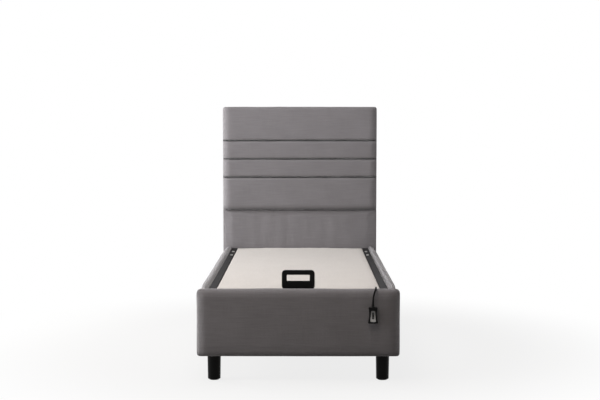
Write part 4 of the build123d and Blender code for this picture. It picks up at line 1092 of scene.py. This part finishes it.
# %% [markdown]
# ## Button surround
# The two push buttons sit in one dark, waisted surround, a thin flat outline with two openings. Cutting the openings
# from a plate would need two Boolean steps; a filled 2D curve with three closed splines makes it in one go.

# %% Outlines of the surround
SURROUND_RISE = 0.0005
SURROUND_EDGE = 0.0018
BUTTON_PLAY = 0.0004
WAIST_SHARE = 0.72
up_low, up_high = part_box("button_up")
down_low, down_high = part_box("button_down")
button_middle = (up_low + down_high) / 2
button_half = (up_high.x - up_low.x) / 2


def arc_points(middle, centre, radius, start, end, count=12):
    angles = np.radians(np.linspace(start, end, count))
    return [(middle + radius * math.cos(a), centre + radius * math.sin(a)) for a in angles]


def slot_arcs(low, high, margin):
    """The upper and the lower arc round one button's upright slot, widened by a margin."""
    middle, radius = (low.x + high.x) / 2, (high.x - low.x) / 2 + margin
    top = high.z - radius + margin
    foot = low.z + radius - margin
    return arc_points(middle, top, radius, 0, 180), arc_points(middle, foot, radius, 180, 360)


waist = WAIST_SHARE * (button_half + SURROUND_EDGE)
outline = [
    *slot_arcs(up_low, up_high, SURROUND_EDGE)[0],
    (button_middle.x - waist, button_middle.z),
    *slot_arcs(down_low, down_high, SURROUND_EDGE)[1],
    (button_middle.x + waist, button_middle.z),
]
openings = [sum(slot_arcs(*ends, BUTTON_PLAY), []) for ends in ((up_low, up_high), (down_low, down_high))]
print("surround of", len(outline), "points with", len(openings), "openings")

# %% Button surround
surround_curve = bpy.data.curves.new("button_surround", "CURVE")
surround_curve.dimensions = "2D"
surround_curve.fill_mode = "BOTH"
surround_curve.extrude = SURROUND_RISE / 2
for loop in (outline, *openings):
    edge = surround_curve.splines.new("POLY")
    edge.points.add(len(loop) - 1)
    for point, (x, z) in zip(edge.points, loop):
        point.co = (x, z, 0.0, 1.0)
    edge.use_cyclic_u = True
surround_former = bpy.data.objects.new("button_surround_former", surround_curve)
surround_mesh = bmesh.new()
surround_mesh.from_mesh(bpy.data.meshes.new_from_object(surround_former))
bpy.data.objects.remove(surround_former)
bmesh.ops.remove_doubles(surround_mesh, verts=surround_mesh.verts, dist=1e-6)
for vert in surround_mesh.verts:
    x, z, rise = vert.co
    vert.co = (x, plate_low.y - SURROUND_RISE / 2 - rise, z)
print("open edges of the surround", sum(not edge.is_manifold for edge in surround_mesh.edges))
surround_data = mesh_data("button_surround", surround_mesh)
surround_data.materials.append(handset_plastic)
surround = add_object("button_surround", surround_data)
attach(surround, "base")

# %% [markdown]
# ## Arrows on the buttons
# Each button carries a small raised arrow, one up and one down. Bump would fake it from the front only, so the arrows
# are tiny wedges, and each rides on its own button and goes in with it when it is pressed.

# %% Arrows
ARROW_HALF = 0.0019
ARROW_RISE = 0.00025
ARROW_SINK = 0.0001
ARROW_TAPER = 0.82
ARROW_CORNERS = ((-1.0, -0.75), (1.0, -0.75), (0.0, 0.95))
for button, way in (("button_up", 1), ("button_down", -1)):
    low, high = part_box(button)
    middle = (low + high) / 2
    arrow_mesh = bmesh.new()
    rows = []
    for share, face in ((1.0, low.y + ARROW_SINK), (ARROW_TAPER, low.y - ARROW_RISE)):
        half = share * ARROW_HALF
        spots = [(middle.x + half * x, face, middle.z + way * half * z) for x, z in ARROW_CORNERS]
        rows.append([arrow_mesh.verts.new(spot) for spot in spots])
    bridge(arrow_mesh, rows)
    arrow_data = mesh_data(f"{button}_arrow", arrow_mesh)
    # The arrows share the plate's finish, with its painted light and shade over height.
    arrow_data.materials.append(plate.material)
    arrow = add_object(f"{button}_arrow", arrow_data)
    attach(arrow, button)
    print("arrow on", button)
